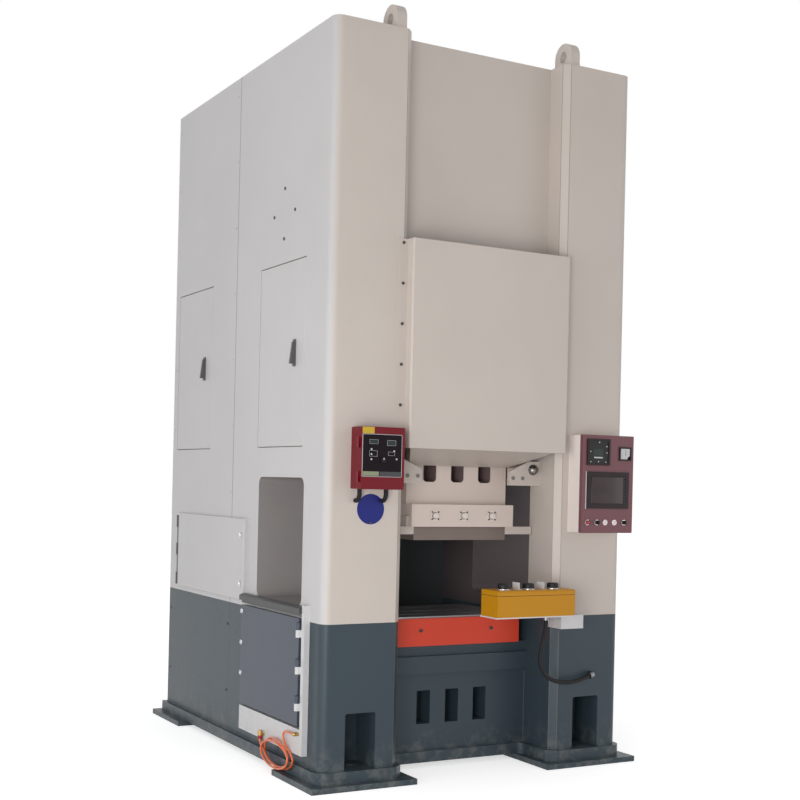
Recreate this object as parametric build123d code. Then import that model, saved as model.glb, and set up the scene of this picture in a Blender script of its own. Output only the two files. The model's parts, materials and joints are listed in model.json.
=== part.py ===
from build123d import *
import os
from math import tan, radians, sqrt

os.makedirs("parts", exist_ok=True)

# Straight-side forming press with a hydraulic drive.
# Millimetres, X to the right, Y to the back, Z up; the floor is at zero.

# Body
BODY_W = 1780
BODY_D = 2180
BODY_H = 3700
FRAME_D = 1181
COLUMN_W = 430
OUTER_CORNER_R = 45
INNER_BEVEL = 33
NOTCH_R = 40
CASING_T = 30

# Base
FOOT_T = 28
FOOT_OUT = 70
FOOT_REACH = 400
FLANGE_T = 57
FLANGE_OUT = 25
ANCHOR_IN = 100
ANCHOR_R = 18
POCKET_W = 165
POCKET_H = 272
POCKET_D = 200
POCKET_R = 12

# Lifting lugs
LUG_T = 55
LUG_W = 147
LUG_H = 130
LUG_HOLE_R = 30
LUG_IN = 38
LUG_SETBACK = 12

# Side windows into the die space
WINDOW_W = 564
WINDOW_H = 633
WINDOW_FRONT = 245
WINDOW_Z = 855
WINDOW_R = 40

# Crown and cylinder
CROWN_RECESS = 140
CROWN_PLATE_T = 20
CROWN_TOP = 300
APRON_UP = 45
APRON_DROP = 79
APRON_IN = 30
APRON_T = 4
APRON_GAP = 2
APRON_BACK = 25
CYLINDER_R = 210
CYLINDER_BORE_R = 160
CYLINDER_FLANGE_R = 270
CYLINDER_FLANGE_T = 60
CYLINDER_CAP_T = 70
GLAND_L = 92
ROD_R = 130
ROD_FLANGE_R = 180
ROD_FLANGE_T = 40
ROD_ROOM = 324
PISTON_T = 120
PISTON_DOWN = 30
RUN_GAP = 0.3

# Bed and bolster
BED_RECESS = 262
BED_TOP = 632
LEDGE_Z = 485
LEDGE_H = 92
LEDGE_OUT = 22
BED_SLOT_W = 80
BED_SLOT_H = 173
BED_SLOT_Z = 224
BED_SLOT_D = 120
BOLSTER_T = 150
BOLSTER_D = 550
BOLSTER_SIDE_GAP = 65
T_SLOT_W = 22
T_SLOT_H = 24
T_HEAD_W = 38
T_HEAD_H = 18
T_SLOT_STEP = 160
FRONT_PLATE_T = 22
FRONT_PLATE_DROP = 8
BACK_PLATE_T = 20
BACK_PLATE_IN = 40

# Slide
DAYLIGHT = 399
GIB_W = 155
SLIDE_D = 544
SLIDE_H = 560
SLIDE_SLOT_W = 78
SLIDE_SLOT_H = 130
SLIDE_SLOT_UP = 115
SLIDE_SLOT_D = 120
SLIDE_SLOT_R = 20
BLOCK_D = 684
BLOCK_H = 115
BLOCK_OVERHANG = 5
DIE_PLATE_IN = 25
DIE_PLATE_D = 624
DIE_PLATE_T = 70
CLAMP_HEAD_R = 16
CLAMP_HEAD_T = 14
CLAMP_HEAD_BEVEL = 3
CLAMP_FLANGE_W = 52
CLAMP_FLANGE_T = 5
CLAMP_FLANGE_R = 6
LIMIT_BAR_D = 60
LIMIT_BAR_T = 40
LIMIT_BAR_GAP = 10
LIMIT_LIP_T = 14
LIMIT_LIP_H = 52
GIB_RAIL_D = 92
GIB_RAIL_INSET = 30
GIB_RAIL_OVER = 20
GIB_BLOCK_H = 130
GIB_BLOCK_Z = 1472
GIB_BLOCK_SETBACK = 165
GIB_LAP = 35
GIB_SLOPE_W = 120
GIB_SLOPE_H = 57
GIB_LIP_T = 20
GIB_GAP = 5
GIB_BOLT_R = 29
GIB_BOLT_IN = 43
GIB_BOLT_UP = 45

# Slide cover
COVER_LAP = 12
COVER_H = 1025
COVER_Z = 1645
COVER_OUT = 60
COVER_T = 4
COVER_FLANGE = 50
COVER_FOLD_R = 10

# Side doors
DOOR_W = 560
DOOR_H = 935
DOOR_Z = 1645
DOOR_T = 25
DOOR_GAP = 4
DOOR_LIP = 20
DOOR_EDGE_R = 3
FRONT_DOOR_IN = 277
REAR_DOOR_IN = 76
REAR_DOOR_FRONT = 363
CABINET_DEEP = 300
HANDLE_W = 26
HANDLE_H = 136
HANDLE_OUT = 30
HANDLE_PLATE_T = 8
HANDLE_IN = 110
LOWER_DOOR_GAP = 16
LOWER_DOOR_H = 442
LOWER_DOOR_Z = 818
LOWER_DOOR_T = 20
LOWER_DOOR_HINGE_IN = 166
LOWER_DOOR_FOLD_R = 6

# Hinges with a fixed knuckle and a leaf knuckle on it
KNUCKLE_R = 12
KNUCKLE_H = 36
KNUCKLE_GAP = 0.3
LEAF_T = 6

# Side guard under the window
GUARD_FRONT = 140
GUARD_W = 800
GUARD_OUT = 30
POST_W = 30
POST_Z = 138
POST_H = 730
TRUNK_H = 125
GUARD_GAP = 12
GUARD_PANEL_T = 8
GUARD_RIB = 18
RAIL_H = 48
RAIL_OUT = 44
RAIL_STEP = 16
RAIL_Z = 812

# Load monitor box
MONITOR_GAP = 4
MONITOR_W = 232
MONITOR_H = 298
MONITOR_Z = 1440
MONITOR_CASE_D = 85
MONITOR_DOOR_T = 25
BOX_WALL = 4
BOX_CORNER_R = 6
BOX_HINGE_R = 7
BOX_HINGE_H = 26
ELBOW_R = 11
ELBOW_BEND_R = 34
ELBOW_DROP = 22

# Control panel
PANEL_GAP = 10
PANEL_W = 335
PANEL_H = 514
PANEL_Z = 1233
PANEL_CASE_D = 96
PANEL_DOOR_T = 24
BEZEL_T = 8
BUTTON_R = 11
BUTTON_OUT = 12
BUTTON_TRAVEL = 4
LAMP_OUT = 9
SELECTOR_T = 10
SELECTOR_OUT = 22
HOLE_GAP = 0.5
STEM_SHARE = 0.55
BEVEL_SHARE = 0.35
BEZEL_SHARE = 0.08

# Two-hand control
TWOHAND_IN = 267
TWOHAND_W = 470
TWOHAND_H = 132
TWOHAND_D = 150
TWOHAND_Z = 818
TWOHAND_REACH = 220
TWOHAND_CHAMFER = 8
TWOHAND_PLATE_T = 6
TWOHAND_PLATE_OUT = 4
ARM_W = 140
ARM_H = 72
ARM_IN = 10
PALM_R = 30
PALM_H = 24
PALM_STEM_R = 14
PALM_STEM_H = 30
PALM_TRAVEL = 6
PALM_BEVEL = 6
GUARD_SHIELD_T = 3
GUARD_SHIELD_H = 36
GUARD_SHIELD_L = 60

# Hoses
CONTROL_HOSE_D = 22
GLAND_R = 17
GLAND_DROP = 23
HOSE_START_OUT = 140
HOSE_END_OUT = 30
HOSE_END_Z = 470
AIR_HOSE_D = 11
COIL_L = 366
COIL_H = 156
COIL_T = 34
COIL_RING = 34
COIL_IN = 397
AIR_FITTING_R = 9
AIR_FITTING_L = 22
COUPLING_R = 12
COUPLING_L = 46
COUPLING_OUT = 10
COUPLING_BACK = 198
COUPLING_UP = 4
CORD_ARC_SHARE = 0.45

# Power unit in the casing
TANK_W = 1300
TANK_CLEAR = 175
TANK_H = 560
TANK_R = 20
TANK_LID_T = 20
TANK_LID_OUT = 15
MOTOR_R = 135
MOTOR_L = 420
MOTOR_FIN = 14
MOTOR_FIN_T = 6
MOTOR_FIN_COUNT = 16
MOTOR_FOOT_H = 30
MOTOR_COVER_L = 70
PUMP_R = 80
PUMP_L = 190
BELL_L = 92
VALVE_W = 240
VALVE_D = 200
VALVE_H = 260
COIL_BLOCK = 60
COIL_BLOCK_L = 88
PIPE_R = 24
PIPE_BEND_R = 92
PIPE_STEP = 110

# Electrical gear behind the front side door
GEAR_PLATE_T = 6
GEAR_MARGIN = 30
GEAR_ROWS = 4
GEAR_COLUMNS = 6
GEAR_W = 58
GEAR_H = 96
GEAR_D = 92

CUT_OVER = 10
HALF = 0.5

# Shares of half a width, from the middle
BED_SLOT_SHARE = 0.374
SLIDE_SLOT_SHARE = 0.551
CLAMP_SHARE = 0.567

# Shares of a panel's width and height, from its left and its top
DISPLAY_SHARES = ((0.08, 0.52, 0.04, 0.31), (0.71, 0.94, 0.115, 0.255), (0.085, 0.90, 0.375, 0.75))
BUTTON_ROW_SHARE = 0.892
BUTTON_SHARE = 0.115
LAMP_SHARES = (0.46, 0.64)
SELECTOR_SHARES = (0.30, 0.83)
PALM_SHARES = (0.18, 0.5, 0.82)
SHIELD_SHARES = (0.34, 0.66)
ELBOW_SHARES = (0.12, 0.74)
LOWER_HINGE_SHARES = (0.1, 0.5, 0.88)
GUARD_HINGE_SHARES = (0.22, 0.56, 0.9)
BOX_HINGE_SHARES = (0.2, 0.75)

# Shares along the hoses
HOSE_START_SHARE = 0.245
CONTROL_SHARES = (
    (0, 0, 0.138),
    (-0.039, 0, 0.298),
    (-0.069, 0.027, 0.480),
    (-0.075, 0.109, 0.661),
    (-0.006, 0.227, 0.831),
    (0.150, 0.382, 0.966),
    (0.367, 0.545, 1.047),
    (0.589, 0.709, 1.072),
    (0.806, 0.873, 1.053),
)
AIR_END_SHARES = (-0.68, 0.66)
AIR_SHARES = ((0, 0.54, 0), (0.2, 1.14, 0.02), (0.5, 1.49, 0.16), (0.8, 1.54, 0.49), (0.95, 1.31, 0.8))
TAIL_START_SHARES = (0.9, -0.1)
TAIL_SHARES = ((0.5, 0.6, 0.3), (1, 1, 0.68))

# Places that follow from the sizes
FRONT_Y = TWOHAND_REACH - (TWOHAND_REACH + BODY_D + FOOT_OUT) * HALF
BACK_Y = FRONT_Y + BODY_D
SEAM_Y = FRONT_Y + FRAME_D
BASE_Z = FOOT_T + FLANGE_T
SIDE_X = BODY_W * HALF
OPENING_X = SIDE_X - COLUMN_W
COLUMN_X = (SIDE_X + OPENING_X) * HALF
DIE_Y = FRONT_Y + WINDOW_FRONT + WINDOW_W * HALF
BED_Y = FRONT_Y + BED_RECESS
BOLSTER_TOP = BED_TOP + BOLSTER_T
BOLSTER_X = OPENING_X - BOLSTER_SIDE_GAP
DIE_PLATE_Z = BOLSTER_TOP + DAYLIGHT
BLOCK_Z = DIE_PLATE_Z + DIE_PLATE_T
SLIDE_Z = BLOCK_Z + BLOCK_H
SLIDE_TOP = SLIDE_Z + SLIDE_H
SLIDE_X = OPENING_X - GIB_W
DIE_PLATE_X = SLIDE_X - DIE_PLATE_IN
CROWN_Z = SLIDE_TOP + ROD_ROOM
CYLINDER_L = BODY_H - CROWN_Z - CROWN_TOP
BACK_PLATE_Y = SEAM_Y - BACK_PLATE_IN
COVER_X = OPENING_X + COVER_LAP
MONITOR_X = -COVER_X - COVER_FLANGE - MONITOR_GAP - MONITOR_W * HALF
PANEL_X = COVER_X + COVER_FLANGE + PANEL_GAP + PANEL_W * HALF
PANEL_FRONT_Y = FRONT_Y - PANEL_CASE_D - PANEL_DOOR_T
TWOHAND_X = OPENING_X - TWOHAND_IN
ARM_X = OPENING_X + ARM_IN
TWOHAND_BACK_Y = FRONT_Y - TWOHAND_REACH + TWOHAND_D
TWOHAND_TOP = TWOHAND_Z + TWOHAND_H
CASING_X = SIDE_X - CASING_T
TANK_Y = (SEAM_Y + BACK_Y - CASING_T) * HALF
TANK_D = BACK_Y - CASING_T - SEAM_Y - TANK_CLEAR * 2
TANK_TOP = BASE_Z + TANK_H + TANK_LID_T
GUARD_Y = FRONT_Y + GUARD_FRONT + POST_W
GUARD_END_Y = FRONT_Y + GUARD_FRONT + GUARD_W
REAR_DOOR_Y = SEAM_Y + REAR_DOOR_FRONT
REAR_DOOR_W = BACK_Y - REAR_DOOR_IN - REAR_DOOR_Y
LOWER_HINGE_Y = BACK_Y - LOWER_DOOR_HINGE_IN
GUARD_HINGE_Y = GUARD_Y + KNUCKLE_R
HINGE_X = -SIDE_X - KNUCKLE_R
GUARD_HINGE_X = -SIDE_X - GUARD_OUT - KNUCKLE_R


def block(x0, x1, y0, y1, z0, z1):
    """Box between two corners."""
    middle = Pos((x0 + x1) * HALF, (y0 + y1) * HALF, (z0 + z1) * HALF)
    return middle * Box(x1 - x0, y1 - y0, z1 - z0)


def rod_z(x, y, z0, z1, r):
    """Upright cylinder."""
    return Pos(x, y, (z0 + z1) * HALF) * Cylinder(r, z1 - z0)


def rod_y(x, z, y0, y1, r):
    """Cylinder along Y."""
    return Pos(x, (y0 + y1) * HALF, z) * Rot(90, 0, 0) * Cylinder(r, y1 - y0)


def rod_x(y, z, x0, x1, r):
    """Cylinder along X."""
    return Pos((x0 + x1) * HALF, y, z) * Rot(0, 90, 0) * Cylinder(r, x1 - x0)


def both_sides(shape):
    """A piece and its mirror image across the middle plane."""
    return [shape, mirror(shape, Plane.YZ)]


def group(shapes):
    """Several like solids in one node."""
    return Compound(children=list(shapes))


def round_edges(shape, axis, by, which, r):
    """Fillets along one axis, on the edges that come first or last in a sorting."""
    edges = shape.edges().filter_by(axis).sort_by(by)
    return fillet(edges[which], r)


# Frame

def upright_blank():
    """Right-hand column, rounded outside and bevelled inside, with its window and its anchor pocket."""
    body = block(OPENING_X, SIDE_X, FRONT_Y, SEAM_Y, BASE_Z, BODY_H)
    corners = body.edges().filter_by(Axis.Z).group_by(Axis.Y)[0].sort_by(Axis.X)
    body = fillet(corners[-1:], OUTER_CORNER_R)
    inner = body.edges().filter_by(Axis.Z).group_by(Axis.X)[0].sort_by(Axis.Y)
    body = chamfer(inner[:1], INNER_BEVEL)
    outline = RectangleRounded(WINDOW_W, WINDOW_H, WINDOW_R)
    window = extrude(
        Plane.YZ.offset(OPENING_X - CUT_OVER) * Pos(DIE_Y, WINDOW_Z + WINDOW_H * HALF) * outline,
        amount=COLUMN_W + CUT_OVER + CUT_OVER,
    )
    return body - window - anchor_pocket()


def anchor_pocket():
    """Space in a column's foot for its anchor bolt, open to the front."""
    pocket = block(
        COLUMN_X - POCKET_W * HALF,
        COLUMN_X + POCKET_W * HALF,
        FRONT_Y - CUT_OVER,
        FRONT_Y + POCKET_D,
        BASE_Z - CUT_OVER,
        BASE_Z + POCKET_H,
    )
    return round_edges(pocket, Axis.Y, Axis.Z, slice(-2, None), POCKET_R)


def right_upright():
    return upright_blank()


def left_upright():
    """Mirror of the right column, with a cabinet behind its upper door."""
    body = mirror(upright_blank(), Plane.YZ)
    door_y = FRONT_Y + FRONT_DOOR_IN
    return body - door_recess(door_y, DOOR_W) - cabinet_space(door_y, DOOR_W)


def door_recess(y0, w):
    """Shallow seat for a flush side door of that width from y0."""
    return block(
        -SIDE_X - CUT_OVER,
        -SIDE_X + DOOR_T,
        y0 - DOOR_GAP,
        y0 + w + DOOR_GAP,
        DOOR_Z - DOOR_GAP,
        DOOR_Z + DOOR_H + DOOR_GAP,
    )


def cabinet_space(y0, w):
    """Hollow behind a flush side door, smaller than the door by its lip."""
    return block(
        -SIDE_X - CUT_OVER,
        -SIDE_X + CABINET_DEEP,
        y0 + DOOR_LIP,
        y0 + w - DOOR_LIP,
        DOOR_Z + DOOR_LIP,
        DOOR_Z + DOOR_H - DOOR_LIP,
    )


def apron_plane():
    """Slants from the cover's lower edge down and in to the slide."""
    run = DIE_Y - SLIDE_D * HALF - APRON_BACK - FRONT_Y - APRON_GAP
    start = (0, FRONT_Y + APRON_GAP, COVER_Z)
    return Plane(origin=start, x_dir=(1, 0, 0), z_dir=(0, APRON_DROP, run))


def apron_sheet():
    """Sheet on that slant, as wide as the opening at the cover and as the slide at its lower edge."""
    plane = apron_plane()
    run = DIE_Y - SLIDE_D * HALF - APRON_BACK - FRONT_Y - APRON_GAP
    slant = sqrt(run * run + APRON_DROP * APRON_DROP)
    wide = OPENING_X - APRON_IN
    outline = Polyline((-wide, 0), (wide, 0), (SLIDE_X, slant), (-SLIDE_X, slant), close=True)
    return extrude(plane * make_face(outline), amount=APRON_T)


def crown():
    """Top beam with the cylinder's bore, and its front plate that carries the slanted apron."""
    beam_y = FRONT_Y + CROWN_RECESS
    beam = block(-OPENING_X, OPENING_X, beam_y, SEAM_Y, CROWN_Z, BODY_H)
    neck_z = COVER_Z + APRON_UP
    plate = block(-OPENING_X, OPENING_X, beam_y, beam_y + CROWN_PLATE_T, neck_z, CROWN_Z)
    hanger = block(-SLIDE_X, SLIDE_X, beam_y, beam_y + CROWN_PLATE_T, COVER_Z - APRON_DROP, neck_z)
    hanger = split(hanger, apron_plane(), keep=Keep.TOP)
    bore = rod_z(0, DIE_Y, CROWN_Z - CUT_OVER, CROWN_Z + CYLINDER_L + RUN_GAP, CYLINDER_R + RUN_GAP)
    body = beam + plate + hanger + apron_sheet() - bore
    for x, z in pipe_ports():
        body -= rod_y(x, z, DIE_Y, SEAM_Y + CUT_OVER, PIPE_R + RUN_GAP)
    return body


def bed():
    """Bed between the columns, with a ledge and three slots in its front."""
    body = block(-OPENING_X, OPENING_X, BED_Y, SEAM_Y, BASE_Z, BED_TOP)
    body += block(-OPENING_X, OPENING_X, BED_Y - LEDGE_OUT, BED_Y, LEDGE_Z, LEDGE_Z + LEDGE_H)
    for step in (-1, 0, 1):
        x = step * OPENING_X * BED_SLOT_SHARE
        body -= block(
            x - BED_SLOT_W * HALF,
            x + BED_SLOT_W * HALF,
            BED_Y - CUT_OVER,
            BED_Y + BED_SLOT_D,
            BED_SLOT_Z,
            BED_SLOT_Z + BED_SLOT_H,
        )
    return body


def anchor_places():
    """The four anchor holes, as (x, y)."""
    front = FRONT_Y + ANCHOR_IN
    back = BACK_Y - ANCHOR_IN
    return [(side * COLUMN_X, y) for side in (-1, 1) for y in (front, back)]


def base_flange():
    """Plate under the whole body, notched between the columns, with corners that follow theirs."""
    x = SIDE_X + FLANGE_OUT
    plate = block(-x, x, FRONT_Y - FLANGE_OUT, BACK_Y + FLANGE_OUT, FOOT_T, BASE_Z)
    notch_x = OPENING_X - FLANGE_OUT
    notch_y = FRONT_Y - FLANGE_OUT - CUT_OVER
    plate -= block(-notch_x, notch_x, notch_y, BED_Y - FLANGE_OUT, FOOT_T - CUT_OVER, BASE_Z + CUT_OVER)
    corners = plate.edges().filter_by(Axis.Z).group_by(Axis.Y)[0].sort_by(Axis.X)
    plate = fillet([corners[0], corners[-1]], OUTER_CORNER_R + FLANGE_OUT)
    corners = plate.edges().filter_by(Axis.Z).filter_by_position(Axis.X, -notch_x, notch_x)
    plate = fillet(corners.group_by(Axis.Y)[-1], NOTCH_R)
    corners = plate.edges().filter_by(Axis.Z).filter_by_position(Axis.X, -notch_x, notch_x)
    plate = chamfer(corners.group_by(Axis.Y)[0], INNER_BEVEL + FLANGE_OUT * (2 - sqrt(2)))
    for x, y in anchor_places():
        plate -= rod_z(x, y, FOOT_T - CUT_OVER, BASE_Z + CUT_OVER, ANCHOR_R)
    return plate


def foot_plates():
    """Four plates on the floor, each with its anchor hole."""
    plates = []
    for side in (-1, 1):
        x0, x1 = sorted((side * (OPENING_X - FOOT_OUT), side * (SIDE_X + FOOT_OUT)))
        plates.append(block(x0, x1, FRONT_Y - FOOT_OUT, FRONT_Y + FOOT_REACH, 0, FOOT_T))
        plates.append(block(x0, x1, BACK_Y - FOOT_REACH, BACK_Y + FOOT_OUT, 0, FOOT_T))
    holes = [rod_z(x, y, -CUT_OVER, FOOT_T + CUT_OVER, ANCHOR_R) for x, y in anchor_places()]
    return group(plate - holes for plate in plates)


def lifting_lugs():
    """Four round-topped plates with an eye, standing on the columns."""
    crown_r = LUG_W * HALF
    eye_z = BODY_H + LUG_H - crown_r
    lugs = []
    for y0 in (FRONT_Y + LUG_SETBACK, SEAM_Y - LUG_SETBACK - LUG_W):
        y = y0 + crown_r
        x0 = OPENING_X + LUG_IN
        plate = block(x0, x0 + LUG_T, y0, y0 + LUG_W, BODY_H, eye_z)
        plate += rod_x(y, eye_z, x0, x0 + LUG_T, crown_r)
        plate -= block(x0, x0 + LUG_T, y0, y0 + LUG_W, BODY_H - LUG_W, BODY_H)
        plate -= rod_x(y, eye_z, x0 - CUT_OVER, x0 + LUG_T + CUT_OVER, LUG_HOLE_R)
        lugs += both_sides(plate)
    return group(lugs)


# Bolster and die space

def t_slot(y):
    """Slot for clamping bolts along X, with a wide foot."""
    neck_z = BOLSTER_TOP - T_SLOT_H
    x = BOLSTER_X + CUT_OVER
    neck = block(-x, x, y - T_SLOT_W * HALF, y + T_SLOT_W * HALF, neck_z, BOLSTER_TOP + CUT_OVER)
    foot = block(-x, x, y - T_HEAD_W * HALF, y + T_HEAD_W * HALF, neck_z - T_HEAD_H, neck_z)
    return neck + foot


def bolster():
    """Die plate on the bed, with three slots."""
    y = BOLSTER_D * HALF
    plate = block(-BOLSTER_X, BOLSTER_X, DIE_Y - y, DIE_Y + y, BED_TOP, BOLSTER_TOP)
    for step in (-1, 0, 1):
        plate -= t_slot(DIE_Y + step * T_SLOT_STEP)
    return plate


def bolster_front_plate():
    y = DIE_Y - BOLSTER_D * HALF
    return block(-BOLSTER_X, BOLSTER_X, y - FRONT_PLATE_T, y, BED_TOP, BOLSTER_TOP - FRONT_PLATE_DROP)


def die_space_back_plate():
    return block(-OPENING_X, OPENING_X, BACK_PLATE_Y, BACK_PLATE_Y + BACK_PLATE_T, BED_TOP, CROWN_Z)


# Slide and its guides

def slide():
    """Ram body with three lightening slots over its thick clamping block."""
    y = SLIDE_D * HALF
    body = block(-SLIDE_X, SLIDE_X, DIE_Y - y, DIE_Y + y, SLIDE_Z, SLIDE_TOP)
    block_x = SLIDE_X + BLOCK_OVERHANG
    block_y = BLOCK_D * HALF
    body += block(-block_x, block_x, DIE_Y - block_y, DIE_Y + block_y, BLOCK_Z, SLIDE_Z)
    for step in (-1, 0, 1):
        x = step * SLIDE_X * SLIDE_SLOT_SHARE
        z = SLIDE_Z + SLIDE_SLOT_UP
        slot = block(
            x - SLIDE_SLOT_W * HALF,
            x + SLIDE_SLOT_W * HALF,
            DIE_Y - y - CUT_OVER,
            DIE_Y - y + SLIDE_SLOT_D,
            z,
            z + SLIDE_SLOT_H,
        )
        body -= fillet(slot.edges().filter_by(Axis.Y), SLIDE_SLOT_R)
    return body


def clamp_bolts():
    """Three round bolt caps on square flanges, on the front of the clamping block."""
    y = DIE_Y - BLOCK_D * HALF
    z = (BLOCK_Z + SLIDE_Z) * HALF
    bolts = []
    for step in (-1, 0, 1):
        x = step * SLIDE_X * CLAMP_SHARE
        square = RectangleRounded(CLAMP_FLANGE_W, CLAMP_FLANGE_W, CLAMP_FLANGE_R)
        flange = extrude(Plane.XZ.offset(-y) * Pos(x, z) * square, amount=CLAMP_FLANGE_T)
        cap_y = y - CLAMP_FLANGE_T
        cap = rod_y(x, z, cap_y - CLAMP_HEAD_T, cap_y, CLAMP_HEAD_R)
        cap = chamfer(cap.faces().sort_by(Axis.Y)[0].edges(), CLAMP_HEAD_BEVEL)
        bolts.append(flange + cap)
    return group(bolts)


def upper_die_plate():
    y = DIE_PLATE_D * HALF
    return block(-DIE_PLATE_X, DIE_PLATE_X, DIE_Y - y, DIE_Y + y, DIE_PLATE_Z, BLOCK_Z)


def limit_bars():
    """Arms under the block's ends that carry the stroke limits, each with a lip beside the block."""
    y = DIE_Y - DIE_PLATE_D * HALF
    bar = block(
        DIE_PLATE_X,
        OPENING_X - LIMIT_BAR_GAP,
        y,
        y + LIMIT_BAR_D,
        BLOCK_Z - LIMIT_BAR_T,
        BLOCK_Z,
    )
    lip_x = SLIDE_X + BLOCK_OVERHANG
    bar += block(lip_x, lip_x + LIMIT_LIP_T, y, y + LIMIT_BAR_D, BLOCK_Z, BLOCK_Z + LIMIT_LIP_H)
    return group(both_sides(bar))


def gib_rails():
    """Four guide rails between the columns and the slide."""
    rails = []
    for side in (-1, 1):
        y = DIE_Y + side * (SLIDE_D * HALF - GIB_RAIL_INSET)
        y0, y1 = sorted((y, y - side * GIB_RAIL_D))
        z0 = WINDOW_Z + WINDOW_H + GIB_RAIL_OVER
        rail = block(SLIDE_X + RUN_GAP, OPENING_X, y0, y1, z0, CROWN_Z - CYLINDER_FLANGE_T)
        rails += both_sides(rail)
    return group(rails)


def gib_blocks():
    """Guide retainers on the columns: a lip laps the slide's front, the top slopes, a domed bolt holds it."""
    y = FRONT_Y + GIB_BLOCK_SETBACK
    x0 = SLIDE_X - GIB_LAP
    top = GIB_BLOCK_Z + GIB_BLOCK_H
    outline = Polyline(
        (x0, GIB_BLOCK_Z),
        (OPENING_X, GIB_BLOCK_Z),
        (OPENING_X, top),
        (x0 + GIB_SLOPE_W, top),
        (x0, top - GIB_SLOPE_H),
        close=True,
    )
    back_y = DIE_Y - SLIDE_D * HALF - GIB_GAP
    body = extrude(Plane.XZ.offset(-back_y) * make_face(outline), amount=back_y - y)
    body -= block(x0 - CUT_OVER, SLIDE_X + GIB_GAP, y + GIB_LIP_T, back_y + CUT_OVER, GIB_BLOCK_Z - CUT_OVER, top)
    dome = Pos(OPENING_X - GIB_BOLT_IN, y, top - GIB_BOLT_UP) * Sphere(GIB_BOLT_R)
    return group(both_sides(body + dome))


def slide_cover():
    """Folded pan in front of the slide, open at the back, with side flanges on the columns."""
    x = COVER_X
    top = COVER_Z + COVER_H
    pan = block(-x, x, FRONT_Y - COVER_OUT, FRONT_Y, COVER_Z, top)
    pan = round_edges(pan, Axis.Z, Axis.Y, slice(None, 2), COVER_FOLD_R)
    hollow = block(
        COVER_T - x,
        x - COVER_T,
        FRONT_Y - COVER_OUT + COVER_T,
        FRONT_Y + CUT_OVER,
        COVER_Z + COVER_T,
        top - COVER_T,
    )
    pan -= hollow
    flange = block(x - COVER_T, x + COVER_FLANGE, FRONT_Y - COVER_T, FRONT_Y, COVER_Z, top)
    return pan + both_sides(flange)


# Cylinder

def cylinder_barrel():
    """Closed barrel in the crown, hung by its flange under the crown."""
    barrel = rod_z(0, DIE_Y, CROWN_Z, CROWN_Z + CYLINDER_L, CYLINDER_R)
    barrel += rod_z(0, DIE_Y, CROWN_Z - CYLINDER_FLANGE_T, CROWN_Z, CYLINDER_FLANGE_R)
    bore_top = CROWN_Z + CYLINDER_L - CYLINDER_CAP_T
    return barrel - rod_z(0, DIE_Y, CROWN_Z - CYLINDER_FLANGE_T - CUT_OVER, bore_top, CYLINDER_BORE_R)


def cylinder_gland():
    """Ring that closes the barrel round the rod."""
    z = CROWN_Z - CYLINDER_FLANGE_T
    ring = rod_z(0, DIE_Y, z, z + GLAND_L, CYLINDER_BORE_R)
    return ring - rod_z(0, DIE_Y, z - CUT_OVER, z + GLAND_L + CUT_OVER, ROD_R + RUN_GAP)


def piston_rod():
    """Rod with its piston at the top and a bolted flange on the slide."""
    piston_z = CROWN_Z + CYLINDER_L - CYLINDER_CAP_T - PISTON_DOWN
    rod = rod_z(0, DIE_Y, SLIDE_TOP, piston_z, ROD_R)
    rod += rod_z(0, DIE_Y, SLIDE_TOP, SLIDE_TOP + ROD_FLANGE_T, ROD_FLANGE_R)
    return rod + rod_z(0, DIE_Y, piston_z - PISTON_T, piston_z, CYLINDER_BORE_R - RUN_GAP)


# Casing behind the frame

def lower_opening():
    """Cut behind the lower side door, in the casing's side."""
    return block(
        -SIDE_X - CUT_OVER,
        -CASING_X + CUT_OVER,
        SEAM_Y + DOOR_LIP,
        LOWER_HINGE_Y - KNUCKLE_R - DOOR_LIP,
        LOWER_DOOR_Z + DOOR_LIP,
        LOWER_DOOR_Z + LOWER_DOOR_H - DOOR_LIP,
    )


def left_rear_panel():
    """Left wall of the casing, with a seat for its door and the opening of the lower door."""
    wall = block(-SIDE_X, -CASING_X, SEAM_Y, BACK_Y, BASE_Z, BODY_H)
    seat = door_recess(REAR_DOOR_Y, REAR_DOOR_W) + cabinet_space(REAR_DOOR_Y, REAR_DOOR_W)
    return wall - seat - lower_opening()


def right_rear_panel():
    return block(CASING_X, SIDE_X, SEAM_Y, BACK_Y, BASE_Z, BODY_H)


def back_panel():
    """Rear wall, with an opening to each rear anchor."""
    wall = block(-CASING_X, CASING_X, BACK_Y - CASING_T, BACK_Y, BASE_Z, BODY_H)
    pocket = block(
        COLUMN_X - POCKET_W * HALF,
        COLUMN_X + POCKET_W * HALF,
        BACK_Y - CASING_T - CUT_OVER,
        BACK_Y + CUT_OVER,
        BASE_Z - CUT_OVER,
        BASE_Z + POCKET_H,
    )
    pocket = round_edges(pocket, Axis.Y, Axis.Z, slice(-2, None), POCKET_R)
    return wall - both_sides(pocket)


def roof_plate():
    return block(-CASING_X, CASING_X, SEAM_Y, BACK_Y - CASING_T, BODY_H - CASING_T, BODY_H)


# Side doors

def side_door(y0, w):
    """Flush sheet door with softened outer edges."""
    door = block(-SIDE_X, -SIDE_X + DOOR_T, y0, y0 + w, DOOR_Z, DOOR_Z + DOOR_H)
    outer = door.faces().sort_by(Axis.X)[0]
    return fillet(outer.edges(), DOOR_EDGE_R)


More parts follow.
